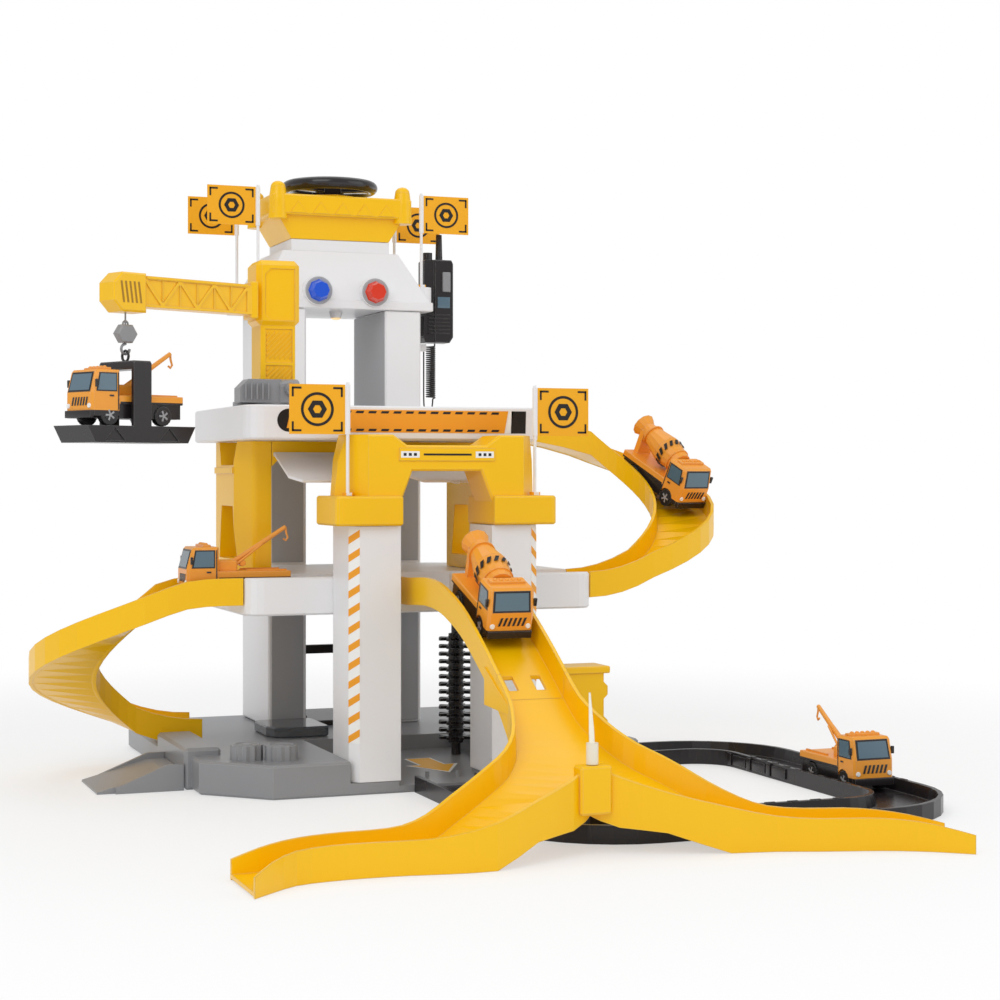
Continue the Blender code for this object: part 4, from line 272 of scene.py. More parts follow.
ink = printed("black print", INK)
print_white = printed("white print", INK_WHITE)
print_amber = printed("amber print", INK_AMBER)
print_orange = printed("orange print", STRIPE)
column = plastic("column plastic", WHITE, 0.36, mask=near_x(0.0, COLUMN_INNER), second=PANEL_GRAY)


def wear(name, material):
    """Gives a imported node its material."""
    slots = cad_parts[name].material_slots
    for slot in slots:
        slot.material = material
    if not slots:
        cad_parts[name].data.materials.append(material)


LOOKS = (
    (yellow, "service_booth gate_arch storey_wall_left storey_wall_right door_frame tower_tray chute_left "
             "chute_right chute_front chute_fork crane_mast crane_jib"),
    (white, "deck_1 deck_2 gate_pillar_left gate_pillar_right garage_door_left garage_door_right tower_head"),
    (gray, "base_plate entry_ramp crane_turntable winch_knob hoist_hook talk_button"),
    (black, "lift_car brush_roller road_front road_near road_side hoist_pallet handset_body steering_wheel"),
    (ivory, "lane_fin"),
    (column, "tower_column_left tower_column_right"),
    (smoke, "cover_plate"),
    (lamp_blue, "lamp_blue"),
    (lamp_red, "lamp_red"),
)
for material, names in LOOKS:
    for name in names.split():
        wear(name, material)


# Shapes, all from millimetres

# Angle between faces above which an edge stays sharp
SHARP_ANGLE = math.radians(32)


def box(x, y, z, edge=0.0):
    """A box from its spans, with its edges bevelled."""
    spans = [metres(span) for span in (x, y, z)]
    shape = bmesh.new()
    bmesh.ops.create_cube(shape, size=1.0)
    bmesh.ops.scale(shape, vec=[high - low for low, high in spans], verts=shape.verts)
    bmesh.ops.translate(shape, vec=[(low + high) / 2 for low, high in spans], verts=shape.verts)
    if edge:
        bmesh.ops.bevel(shape, geom=shape.edges[:], offset=edge * MM, segments=2, profile=0.7, affect="EDGES")
    return shape


def rod(start, end, radius, sides, end_radius=None):
    """A round rod between two places, which may taper to its end."""
    start = Vector(metres(start))
    end = Vector(metres(end))
    shape = bmesh.new()
    bmesh.ops.create_cone(
        shape, cap_ends=True, segments=sides, radius1=radius * MM,
        radius2=(radius if end_radius is None else end_radius) * MM, depth=(end - start).length,
    )
    turn = Vector((0, 0, 1)).rotation_difference(end - start).to_matrix().to_4x4()
    bmesh.ops.transform(shape, matrix=Matrix.Translation((start + end) / 2) @ turn, verts=shape.verts)
    return shape


def dome(centre, radius, squash):
    shape = bmesh.new()
    bmesh.ops.create_uvsphere(shape, u_segments=20, v_segments=12, radius=radius * MM)
    bmesh.ops.scale(shape, vec=(1, 1, squash), verts=shape.verts)
    bmesh.ops.translate(shape, vec=metres(centre), verts=shape.verts)
    return shape


def slab(corners, rise):
    """A flat outline in space, thickened along rise."""
    shape = bmesh.new()
    low = [shape.verts.new(metres(corner)) for corner in corners]
    high = [shape.verts.new(Vector(metres(corner)) + Vector(metres(rise))) for corner in corners]
    shape.faces.new(low[::-1])
    shape.faces.new(high)
    for index in range(len(low)):
        after = (index + 1) % len(low)
        shape.faces.new((low[index], low[after], high[after], high[index]))
    bmesh.ops.recalc_face_normals(shape, faces=shape.faces)
    return shape


def strip(x, z, y, skew=0.0):
    """A flat mark on a plane that faces the front, from its spans in x and z, slanted by skew."""
    corners = [(x[0], y, z[0]), (x[1], y, z[0]), (x[1] + skew, y, z[1]), (x[0] + skew, y, z[1])]
    return slab(corners, (0, -PRINT, 0))


def torus(centre, radius, tube, steps=96, sides=20):
    """A round ring about a vertical axis."""
    shape = bmesh.new()
    circle = []
    for index in range(sides):
        angle = math.tau * index / sides
        circle.append(shape.verts.new(metres((radius + tube * math.cos(angle), 0, tube * math.sin(angle)))))
    edges = [shape.edges.new(pair) for pair in zip(circle, circle[1:] + circle[:1])]
    bmesh.ops.spin(shape, geom=circle + edges, cent=(0, 0, 0), axis=(0, 0, 1), angle=math.tau, steps=steps,
                   use_merge=True)
    bmesh.ops.remove_doubles(shape, verts=shape.verts, dist=0.001 * MM)
    bmesh.ops.translate(shape, vec=metres(centre), verts=shape.verts)
    bmesh.ops.recalc_face_normals(shape, faces=shape.faces)
    return shape


def piece(name, shapes, material, body="garage", matrix=None):
    """One piece of the scene from several shapes, riding on a body."""
    whole = bmesh.new()
    for shape in shapes:
        part = bpy.data.meshes.new("part")
        shape.to_mesh(part)
        shape.free()
        whole.from_mesh(part)
        bpy.data.meshes.remove(part)
    if matrix is not None:
        bmesh.ops.transform(whole, matrix=matrix, verts=whole.verts)
    mesh = bpy.data.meshes.new(name)
    whole.to_mesh(mesh)
    whole.free()
    mesh.materials.append(material)
    mesh.shade_smooth()
    mesh.set_sharp_from_angle(angle=SHARP_ANGLE)
    made = bpy.data.objects.new(name, mesh)
    bpy.context.scene.collection.objects.link(made)
    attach(made, body)
    return made


# Camera at the photograph's angle: place in metres, turn in degrees, lens and sensor in millimetres
CAMERA_PLACE = (-0.44871, -1.43361, 0.212)
CAMERA_TURN = (90, 0, -21)
CAMERA_LENS = 72
CAMERA_SENSOR = 36
CAMERA_SHIFT = -0.025


def build_camera():
    camera = bpy.data.objects.new("camera", bpy.data.cameras.new("camera"))
    camera.location = CAMERA_PLACE
    camera.rotation_euler = [math.radians(angle) for angle in CAMERA_TURN]
    camera.data.lens = CAMERA_LENS
    camera.data.sensor_width = CAMERA_SENSOR
    camera.data.shift_y = CAMERA_SHIFT
    bpy.context.scene.collection.objects.link(camera)
    bpy.context.scene.camera = camera


build_camera()


# Curly cord, in metres: the same route as the solid, with finer curls
CURLS = 25
CURL_STEPS = 16
CURL_RADIUS = 3.4 * MM
CORD_RADIUS = 0.6 * MM
CURL_AXIS = (0.0805, 0.102)
CURL_TOP = 0.3165
CURL_FOOT = 0.2747
CORD_START = 0.3187
CORD_STUB = 1.4 * MM
CORD_ROUTE = (
    (0.0831, 0.1044, 0.2737), (0.0829, 0.1046, 0.2700), (0.0818, 0.1036, 0.2655), (0.0794, 0.1026, 0.2624),
    (0.0764, 0.1020, 0.2632), (0.0749, 0.1020, 0.2675), (0.0745, 0.1020, 0.2760), (0.0745, 0.1020, 0.2900),
    (0.0745, 0.1020, 0.3050),
)
ROUTE_STEPS = 4
CORD_END_Z = 0.3120


def through(points, steps):
    """More points on a smooth curve through the given ones."""
    made = []
    last = len(points) - 1
    for index in range(last):
        a, b, c, d = (Vector(points[min(max(index + shift, 0), last)]) for shift in (-1, 0, 1, 2))
        for step in range(steps):
            t = step / steps
            slope = (c - a) * t
            bend = (2 * a - 5 * b + 4 * c - d) * t ** 2
            twist = (3 * b - a - 3 * c + d) * t ** 3
            made.append((2 * b + slope + bend + twist) / 2)
    made.append(Vector(points[-1]))
    return made


def cord_points():
    """The stub, the curls, the loose bend and the end."""
    x, y = CURL_AXIS
    points = [Vector((x + CURL_RADIUS, y, CORD_START)), Vector((x + CURL_RADIUS, y, CORD_START - CORD_STUB))]
    total = CURLS * CURL_STEPS
    for step in range(total + 1):
        angle = math.tau * step / CURL_STEPS
        level = CURL_TOP + (CURL_FOOT - CURL_TOP) * step / total
        points.append(Vector((x + CURL_RADIUS * math.cos(angle), y + CURL_RADIUS * math.sin(angle), level)))
    points.extend(through(CORD_ROUTE, ROUTE_STEPS))
    points.append(Vector((*CORD_ROUTE[-1][:2], CORD_END_Z)))
    return points


def build_cord():
    points = cord_points()
    curve = bpy.data.curves.new("curly_cord", "CURVE")
    curve.dimensions = "3D"
    curve.bevel_depth = CORD_RADIUS
    curve.bevel_resolution = 3
    curve.use_fill_caps = True
    spline = curve.splines.new("POLY")
    spline.points.add(len(points) - 1)
    for point, place in zip(spline.points, points):
        point.co = (*place, 1)
    curve.materials.append(cord_black)
    made = bpy.data.objects.new("curly_cord", curve)
    bpy.context.scene.collection.objects.link(made)
    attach(made, "garage")
    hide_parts("handset_cord")


build_cord()


# Gate: slanted stripes on the pillars' chamfers
PILLAR_OUTER = 67
PILLAR_FRONT = -165
PILLAR_CHAMFER = 6
STRIPE_FOOT = 34
STRIPE_TOP = 176
STRIPE_PITCH = 12
STRIPE_HEIGHT = 4.8
STRIPE_RISE = 5


def pillar_stripes(side, name):
    up = Vector((0, 0, 1))
    outward = Vector((side, -1, 0)).normalized()
    near = Vector((side * (PILLAR_OUTER - PILLAR_CHAMFER), PILLAR_FRONT, 0)) + outward * STAND_OFF
    far = Vector((side * PILLAR_OUTER, PILLAR_FRONT + PILLAR_CHAMFER, 0)) + outward * STAND_OFF
    left, right = (far, near) if side < 0 else (near, far)
    foot, top = up * STRIPE_FOOT, up * STRIPE_TOP
    ground = slab([left + foot, right + foot, right + top, left + top], outward * PRINT)
    piece("stripe_ground_" + name, [ground], print_white)
    shapes = []
    level = STRIPE_FOOT
    while level + STRIPE_HEIGHT + STRIPE_RISE < STRIPE_TOP:
        low = far + outward * PRINT + up * level
        high = near + outward * PRINT + up * (level + STRIPE_RISE)
        corners = [low, high, high + up * STRIPE_HEIGHT, low + up * STRIPE_HEIGHT]
        shapes.append(slab(corners, outward * PRINT))
        level += STRIPE_PITCH
    piece("stripes_" + name, shapes, print_orange)


# Gate: the printed band on the arch, a rule between two plates with three ticks each
ARCH_FRONT = -166.8
PLATE_X = (20, 33)
PLATE_Z = (223.6, 227.9)
TICKS_X = (22, 25.6, 29.2)
TICK_WIDTH = 2
TICK_Z = (224.8, 226.7)
RULE_HALF = 17
RULE_Z = (225.1, 226.4)


def arch_band():
    face = ARCH_FRONT - STAND_OFF
    plates = []
    marks = []
    for side in SIDES:
        plates.append(strip(on_side(side, PLATE_X), PLATE_Z, face))
        for x in TICKS_X:
            marks.append(strip(on_side(side, (x, x + TICK_WIDTH)), TICK_Z, face - PRINT))
    marks.append(strip((-RULE_HALF, RULE_HALF), RULE_Z, face))
    piece("arch_band_ends", plates, print_white)
    piece("arch_band_marks", marks, ink)


pillar_stripes(-1, "left")
pillar_stripes(1, "right")
arch_band()


# Deck 2: the printed band along its front edge, with a round black cap at its left end, a plate and a white
# slash at its right end, and a row of dashes along its top and foot
DECK_FRONT = -122
BAND_X = (-106, 74)
BAND_Z = (241.2, 256.8)
BAND_SLANT = 3
CAP_LENGTH = 22
CAP_LAP = 1
CAP_STEPS = 12
TAIL_LENGTH = 16
TAIL_PLATE = 11
TAIL_PLATE_SLANT = 0.4
TAIL_SLASH = (15, 12)
DASH_START = 28
DASH_END = 24
DASH_LENGTH = 5.4
DASH_HEIGHT = 1.6
DASH_PITCH = 9
DASH_INSET = 0.9
DASH_SLANT = 0.8
BAR_COUNT = 3
BAR_START = 6.5
BAR_PITCH = 5
BAR_WIDTH = 2.4
BAR_INSET = 2.5


def band_cap(face):
    """The black cap: half a circle, and a slanted end that laps under the band."""
    left = BAND_X[0]
    low, high = BAND_Z
    radius = (high - low) / 2
    corners = []
    for step in range(CAP_STEPS + 1):
        angle = math.pi * (0.5 + step / CAP_STEPS)
        across, up = radius * math.cos(angle), radius * math.sin(angle)
        corners.append((left + radius + across, face, low + radius + up))
    end = left + CAP_LENGTH - CAP_LAP
    return slab(corners + [(end, face, low), (end + BAND_SLANT, face, high)], (0, -PRINT, 0))


def deck_band():
    face = DECK_FRONT - STAND_OFF
    left, right = BAND_X
    low, high = BAND_Z
    band = strip((left + CAP_LENGTH, right - TAIL_LENGTH), BAND_Z, face, BAND_SLANT)
    piece("deck_band", [band], print_orange)
    dark = [band_cap(face), strip((right - TAIL_PLATE, right), BAND_Z, face, TAIL_PLATE_SLANT)]
    for foot in (low + DASH_INSET, high - DASH_INSET - DASH_HEIGHT):
        x = left + DASH_START
        while x < right - DASH_END:
            dark.append(strip((x, x + DASH_LENGTH), (foot, foot + DASH_HEIGHT), face - PRINT, DASH_SLANT))
            x += DASH_PITCH
    piece("deck_band_ink", dark, ink)
    bars = []
    for index in range(BAR_COUNT):
        x = left + BAR_START + BAR_PITCH * index
        bars.append(strip((x, x + BAR_WIDTH), (low + BAR_INSET, high - BAR_INSET), face - PRINT, BAR_WIDTH))
    piece("deck_band_bars", bars, print_orange)
    slash = strip([right - reach for reach in TAIL_SLASH], BAND_Z, face, BAND_SLANT)
    piece("deck_band_slash", [slash], print_white)


deck_band()


# Flags: a pale pole, and on both faces of the sheet a ring round a hexagon nut and four corner brackets
FLAG_X = 67
FLAG_REACH = 40
FLAG_HALF = 0.4
POLE_REACH = 1.9
GATE_FLAG_Z = (239, 272)
TOWER_FLAG_Z = (406, 436)
FLAGS = (
    ("gate_flag_left", -1, -157, GATE_FLAG_Z), ("gate_flag_right", 1, -157, GATE_FLAG_Z),
    ("tower_flag_1", -1, 86, TOWER_FLAG_Z), ("tower_flag_2", -1, 156, TOWER_FLAG_Z),
    ("tower_flag_3", 1, 86, TOWER_FLAG_Z), ("tower_flag_4", 1, 156, TOWER_FLAG_Z),
)

# The ring's radius as a share of the sheet's height, and each figure's outer and inner share and sides
MARK_SHARE = 0.34
MARK_SHIFT = 1
MARK_RING = (1.0, 0.84, 40)
MARK_NUT = (0.58, 0.27, 6)

# Brackets: arm, width, and how far they stand off the pole's axis, the free edge and the top and foot
BRACKET_ARM = 6.5
BRACKET_WIDTH = 1.3
BRACKET_POLE = 3.6
BRACKET_FREE = 1.6
BRACKET_INSET = 1.8


def round_mark(x, plane, z, radius, rise):
    shapes = []
    for outer, inner, sides in (MARK_RING, MARK_NUT):
        for index in range(sides):
            start, end = (math.tau * (index + shift) / sides for shift in (0, 1))
            outline = ((outer, start), (outer, end), (inner, end), (inner, start))
            corners = [(x + radius * share * math.cos(angle), plane, z + radius * share * math.sin(angle))
                       for share, angle in outline]
            shapes.append(slab(corners, rise))
    return shapes


def corner_brackets(x_span, plane, z_span, rise):
    shapes = []
    for x, inward in zip(x_span, (1, -1)):
        for z, upward in zip(z_span, (1, -1)):
            for across, up in ((BRACKET_ARM, BRACKET_WIDTH), (BRACKET_WIDTH, BRACKET_ARM)):
                corners = [(x + inward * across * i, plane, z + upward * up * j) for i, j in SQUARE]
                shapes.append(slab(corners, rise))
    return shapes


def flag_mark(name, side, y, levels):
    x = side * FLAG_X
    low, high = levels
    pole = near_x(x, POLE_REACH)
    sheet = plastic(name + " sheet", FLAG, 0.5, coat=0.0, edges=False, mask=pole, second=WHITE)
    wear(name, sheet)
    middle_x = x + side * (FLAG_REACH / 2 + MARK_SHIFT)
    radius = (high - low) * MARK_SHARE
    ends = sorted((x + side * BRACKET_POLE, x + side * (FLAG_REACH - BRACKET_FREE)))
    shapes = []
    for face in SIDES:
        plane = y + face * (FLAG_HALF + STAND_OFF)
        rise = (0, face * PRINT, 0)
        shapes += round_mark(middle_x, plane, (low + high) / 2, radius, rise)
        shapes += corner_brackets(ends, plane, (low + BRACKET_INSET, high - BRACKET_INSET), rise)
    piece(name + "_mark", shapes, ink)


for name, side, y, levels in FLAGS:
    flag_mark(name, side, y, levels)


# Base: an arrow on the lane
LANE_X = 18
BASE_TOP = 5
ARROW_EDGE = {"shaft": 10, "barb": 19.5, "foot": -49, "neck": -82, "tip": -120.5}
ARROW_FACE = {"shaft": 8.3, "barb": 16, "foot": -51, "neck": -84, "tip": -117}

# Tower: light gray panels on the columns' fronts
PANEL_X = (34.5, 59.5)
PANEL_Y = (71.5, 72.4)
PANEL_LEVELS = ((18, 115), (144.5, 234))
PANEL_EDGE = 0.3

# Base: a rim and a low boss on each fluted bollard
BOLLARDS = ((-129, -130), (-108, -140))
BOLLARD_RIM = 8.2
BOLLARD_BEAD = 0.9
BOLLARD_RIM_Z = 32.3
BOSS_RADIUS = 4
BOSS_TOP_RADIUS = 3.5
BOSS_Z = (32.2, 33)


def arrow(shaft, barb, foot, neck, tip):
    """An arrow's outline, from half its widths and the places along it."""
    left = ((-shaft, foot), (-shaft, neck), (-barb, neck))
    return (*left, (0, tip), *((-across, along) for across, along in reversed(left)))


def base_arrow():
    for name, sizes, lift, material, slot in (
        ("lane_arrow_edge", ARROW_EDGE, 0.0, print_white, "white"),
        ("lane_arrow", ARROW_FACE, PRINT, print_amber, "flag"),
    ):
        corners = [(LANE_X + across, along, BASE_TOP + STAND_OFF + lift) for across, along in arrow(**sizes)]
        piece(name, [slab(corners, (0, 0, PRINT))], material)


def column_panels():
    shapes = [box(on_side(side, PANEL_X), PANEL_Y, levels, PANEL_EDGE)
              for side in SIDES for levels in PANEL_LEVELS]
    piece("column_panels", shapes, panel_gray)


def bollard_caps():
    shapes = []
    low, high = BOSS_Z
    for x, y in BOLLARDS:
        shapes.append(torus((x, y, BOLLARD_RIM_Z), BOLLARD_RIM, BOLLARD_BEAD, steps=40, sides=12))
        shapes.append(rod((x, y, low), (x, y, high), BOSS_RADIUS, sides=32, end_radius=BOSS_TOP_RADIUS))
    piece("bollard_caps", shapes, gray)


base_arrow()
column_panels()
bollard_caps()


# Crane: its axis, and the jib's heading in degrees
CRANE_X = -95
CRANE_Y = -64
JIB_HEADING = 204.5

# Slanted slats in the mast's two panels
MAST_FACE = -7.2
MAST_PANEL_X = (-100.4, -82.6)
MAST_PANELS_Z = ((268.5, 288), (293, 312.5))
SLAT_COUNT = 10
SLAT_PITCH = 3.6
SLAT_SHIFT = 0.4
SLAT_WIDTH = 1.3
SLAT_DEPTH = 0.7
SLAT_SHORTEST = 1

# Along the jib: slanted slots in its tip, painted as darker yellow marks that stand for their shade, and a
# lip round its top
TIP_HALF = 9
TIP_SLOTS = 5
TIP_SLOT_START = 116
TIP_SLOT_PITCH = 3.4
TIP_SLOT_WIDTH = 1.4
TIP_SLOT_SLANT = 2
TIP_SLOT_Z = (325, 339)
RAIL_X = (26, 111)
RAIL_Y = (6.2, 7.5)
RAIL_Z = (341.6, 343.6)
RAIL_EDGE = 0.3

# Ribs on the winch housing's front, from the crane's axis
RIBS_X = (-26, -22, -18, -14, -10)
RIB_WIDTH = 1.2
RIB_Y = (-29, -27.6)
RIB_Z = (264, 275)
RIB_EDGE = 0.2


def mast_slats():
    """Slats at 45 degrees, each cut off at its panel's edges and left out where too little stays."""
    left, right = MAST_PANEL_X
    face = CRANE_Y + MAST_FACE
    slats = []
    for low, high in MAST_PANELS_Z:
        for index in range(SLAT_COUNT):
            offset = low - right + SLAT_PITCH * (index + SLAT_SHIFT)
            start = max(left, low - offset)
            end = min(right, high - SLAT_WIDTH - offset)
            if end - start < SLAT_SHORTEST:
                continue
            outline = ((start, 0), (end, 0), (end, SLAT_WIDTH), (start, SLAT_WIDTH))
            corners = [(x, face, x + offset + up) for x, up in outline]
            slats.append(slab(corners, (0, -SLAT_DEPTH, 0)))
    piece("mast_slats", slats, yellow, "crane")


def jib_trim():
    heading = Matrix.Rotation(math.radians(JIB_HEADING), 4, "Z")
    turn = Matrix.Translation(metres((CRANE_X, CRANE_Y, 0))) @ heading
    low, high = TIP_SLOT_Z
    slots = []
    for side in SIDES:
        face = side * (TIP_HALF + STAND_OFF)
        for index in range(TIP_SLOTS):
            x = TIP_SLOT_START + TIP_SLOT_PITCH * index
            corners = [(x, face, low), (x + TIP_SLOT_WIDTH, face, low),
                       (x + TIP_SLOT_WIDTH + TIP_SLOT_SLANT, face, high), (x + TIP_SLOT_SLANT, face, high)]
            slots.append(slab(corners, (0, side * PRINT, 0)))
    # The slots are flat marks in darker yellow: painted shade, not openings
    piece("tip_slots", slots, painted_shade_yellow, "crane", turn)
    rails = [box(RAIL_X, on_side(side, RAIL_Y), RAIL_Z, RAIL_EDGE) for side in SIDES]
    piece("jib_rails", rails, yellow, "crane", turn)


def housing_ribs():
    y = [CRANE_Y + reach for reach in RIB_Y]
    ribs = [box((CRANE_X + x, CRANE_X + x + RIB_WIDTH), y, RIB_Z, RIB_EDGE) for x in RIBS_X]
    piece("housing_ribs", ribs, gray, "crane")


mast_slats()
jib_trim()
housing_ribs()


# Tower: triangles on the tray's front
TRAY_FRONT = 80
TRIANGLE_COUNT = 5
TRIANGLE_PITCH = 18
TRIANGLE_HALF = 6.7
TRIANGLE_Z = (416.8, 426)
TRIANGLE_DEPTH = 0.6

# A rounded post in each of the tray's corners, from levels and radii
POSTS = ((-51, 86), (51, 86), (-51, 154), (51, 154))
POST_LEVELS = ((412, 7.5), (428, 7.1), (437, 5.8))
POST_SQUASH = 0.8

# A rim round each lamp of the head, and the lens in its ceiling
LAMPS_X = (-23, 23)
LAMP_Z = 355.5
LAMP_RIM_Y = (68.4, 67.2)
LAMP_RIM = 11.2
LAMP_RIM_FRONT = 10.2
LENS_PLACE = (0, 100, 337.4)
LENS_RADIUS = 4.2
LENS_SQUASH = 0.5


def tray_triangles():
    low, high = TRIANGLE_Z
    shapes = []
    for index in range(TRIANGLE_COUNT):
        x = TRIANGLE_PITCH * (index - (TRIANGLE_COUNT - 1) / 2)
        outline = ((x - TRIANGLE_HALF, low), (x + TRIANGLE_HALF, low), (x, high))
        shapes.append(slab([(x, TRAY_FRONT, z) for x, z in outline], (0, -TRIANGLE_DEPTH, 0)))
    piece("tray_triangles", shapes, yellow)


def tray_posts():
    top, top_radius = POST_LEVELS[-1]
    shapes = []
    for x, y in POSTS:
        for (low, wide), (high, narrow) in zip(POST_LEVELS, POST_LEVELS[1:]):
            shapes.append(rod((x, y, low), (x, y, high), wide, sides=32, end_radius=narrow))
        shapes.append(dome((x, y, top), top_radius, POST_SQUASH))
    piece("tray_posts", shapes, yellow)


def head_lamps():
    back, front = LAMP_RIM_Y
    rims = [rod((x, back, LAMP_Z), (x, front, LAMP_Z), LAMP_RIM, sides=40, end_radius=LAMP_RIM_FRONT)
            for x in LAMPS_X]
    piece("lamp_rims", rims, panel_gray)
    piece("ceiling_lens", [dome(LENS_PLACE, LENS_RADIUS, LENS_SQUASH)], lamp_pale)


tray_triangles()
tray_posts()
head_lamps()


# Steering wheel: its axis, the foot of its hub and the top that the rest is measured from
WHEEL_X = 0.0
WHEEL_Y = 118
WHEEL_FOOT = 435.3
WHEEL_TOP = 445.3
RIM_RADIUS = 33.8
RIM_TUBE = 4.7
RIM_DROP = 2.7
BEAD_INSET = 2.9
BEAD_TUBE = 0.6
BEAD_RISE = 0.9

# The hub in two steps: where each ends above the wheel's top, its radius and its end's radius
HUB_STEPS = ((-0.9, 11.5, 11.2), (0.4, 11.2, 9.6))
HUB_RING = 6.4
HUB_RING_TUBE = 0.7
HUB_RING_RISE = 0.3

# Spokes: outlines along and across a spoke, how far below the wheel's top they start, and their depth
SPOKE_COUNT = 3
SPOKE_OUTLINE = ((8, -4.6), (20, -4.3), (30.5, -6.6), (30.5, 6.6), (20, 4.3), (8, 4.6))
SPOKE_DROP = 7.1
SPOKE_DEPTH = 4.9
SPOKE_EDGE = 0.9
SPOKE_RIB = ((11, 2.2), (28, 3.2), (28, 3.9), (11, 2.9))
SPOKE_RIB_DROP = 2.3
SPOKE_RIB_DEPTH = 0.6


def spoke_shapes(turn):
    """A spoke with soft edges and a thin rib along both of its sides."""
    spoke = slab([(a, b, WHEEL_TOP - SPOKE_DROP) for a, b in SPOKE_OUTLINE], (0, 0, SPOKE_DEPTH))
    bmesh.ops.bevel(spoke, geom=spoke.edges[:], offset=SPOKE_EDGE * MM, segments=3, profile=0.6,
                    affect="EDGES")
    shapes = [spoke]
    for side in SIDES:
        corners = [(a, side * b, WHEEL_TOP - SPOKE_RIB_DROP) for a, b in SPOKE_RIB]
        shapes.append(slab(corners, (0, 0, SPOKE_RIB_DEPTH)))
    for shape in shapes:
        bmesh.ops.transform(shape, matrix=turn, verts=shape.verts)
    return shapes


def steering_wheel():
    """The wheel with a round rim, a bead on its inner side, a stepped hub and ribbed spokes."""
    def up(rise):
        return (WHEEL_X, WHEEL_Y, WHEEL_TOP + rise)
    shapes = [torus(up(-RIM_DROP), RIM_RADIUS, RIM_TUBE)]
    shapes.append(torus(up(BEAD_RISE), RIM_RADIUS - BEAD_INSET, BEAD_TUBE, sides=10))
    start = (WHEEL_X, WHEEL_Y, WHEEL_FOOT)
    for rise, radius, end_radius in HUB_STEPS:
        shapes.append(rod(start, up(rise), radius, sides=64, end_radius=end_radius))
        start = up(rise)
    shapes.append(torus(up(HUB_RING_RISE), HUB_RING, HUB_RING_TUBE, steps=48, sides=10))
    centre = Matrix.Translation(metres((WHEEL_X, WHEEL_Y, 0)))
    for index in range(SPOKE_COUNT):
        heading = math.radians(90) + math.tau * index / SPOKE_COUNT
        shapes += spoke_shapes(centre @ Matrix.Rotation(heading, 4, "Z"))
    made = piece("fine_steering_wheel", shapes, gloss_black, "steering")
    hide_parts("steering_wheel")


steering_wheel()


# Handset: ribs over the speaker, grip ribs on its right side, and a small screen
SPEAKER_X = (76, 94)
SPEAKER_Y = (93.15, 93.7)
SPEAKER_RIBS_Z = range(326, 342, 3)
SPEAKER_RIB = 1
SPEAKER_EDGE = 0.15
GRIP_X = (96.6, 97.3)
GRIP_Y = (96, 108)
GRIP_RIBS_Z = range(330, 372, 6)
GRIP_RIB = 2
GRIP_EDGE = 0.2
SCREEN = ((83.5, 94), (93.2, 93.7), (347, 356), 0.3)


def handset_trim():
    ribs = [box(SPEAKER_X, SPEAKER_Y, (z, z + SPEAKER_RIB), SPEAKER_EDGE) for z in SPEAKER_RIBS_Z]
    ribs += [box(GRIP_X, GRIP_Y, (z, z + GRIP_RIB), GRIP_EDGE) for z in GRIP_RIBS_Z]
    piece("handset_ribs", ribs, black)
    piece("handset_screen", [box(*SCREEN)], glass)


handset_trim()


# Road: the middle lines of its side and front lanes, how far its walls stand off them, and the studs along
# the walls' tops
SIDE_LANE_X = 252
FRONT_LANE_Y = -369
WALL_REACH = 21.5
STUD_Z = (10.2, 11.5)
STUD_HALF = 0.9
STUD_EDGE = 0.3
STUD_LENGTH = 7
STUD_PITCH = 16
STUD_COUNT = 9
STUD_START_X = 62
STUD_START_Y = -300

# Raised marks on the lanes' floor
MARK_Z = (2.8, 3.5)
MARK_HALF = 0.6
MARK_EDGE = 0.2
MARK_LENGTH = 18
SIDE_MARKS_Y = (-215, -150)
SIDE_MARKS_REACH = 9
FRONT_MARKS_X = (60, 100, 140, 180)

# Clips on the side lane's inner wall: a long one, then a short one
CLIP_COUNT = 3
CLIP_START = -218
CLIP_PITCH = 29
CLIP_EDGE = 0.4
LONG_CLIP = ((227.9, 229.2), (0, 19), (2.2, 9.2))
SHORT_CLIP = ((227.3, 229.2), (21, 26), (1.4, 10.2))


def road_clips():
    shapes = []
    for index in range(CLIP_COUNT):
        y = CLIP_START + CLIP_PITCH * index
        for across, along, up in (LONG_CLIP, SHORT_CLIP):
            shapes.append(box(across, [y + reach for reach in along], up, CLIP_EDGE))
    return shapes


def road_marks():
    shapes = []
    for y in SIDE_MARKS_Y:
        for side in SIDES:
            x = SIDE_LANE_X + side * SIDE_MARKS_REACH
            shapes.append(box((x - MARK_HALF, x + MARK_HALF), (y, y + MARK_LENGTH), MARK_Z, MARK_EDGE))
    for x in FRONT_MARKS_X:
        y = (FRONT_LANE_Y - MARK_HALF, FRONT_LANE_Y + MARK_HALF)
        shapes.append(box((x, x + MARK_LENGTH), y, MARK_Z, MARK_EDGE))
    return shapes


def wall_studs():
    shapes = []
    for index in range(STUD_COUNT):
        x = STUD_START_X + STUD_PITCH * index
        for side in (1, -1):
            y = FRONT_LANE_Y + side * WALL_REACH
            shapes.append(box((x, x + STUD_LENGTH), (y - STUD_HALF, y + STUD_HALF), STUD_Z, STUD_EDGE))
    for index in range(STUD_COUNT):
        y = STUD_START_Y + STUD_PITCH * index
        for side in SIDES:
            x = SIDE_LANE_X + side * WALL_REACH
            shapes.append(box((x - STUD_HALF, x + STUD_HALF), (y, y + STUD_LENGTH), STUD_Z, STUD_EDGE))
    return shapes


piece("road_studs", road_clips() + road_marks() + wall_studs(), black)


# A plate that hangs from the wall where the front chute meets the fork, from its outline in y and z
SKIRT_X = -23.9
SKIRT_DEPTH = 1.4
SKIRT_OUTLINE = ((-300, 73), (-341, 71), (-341, 76), (-319, 86), (-300, 96))

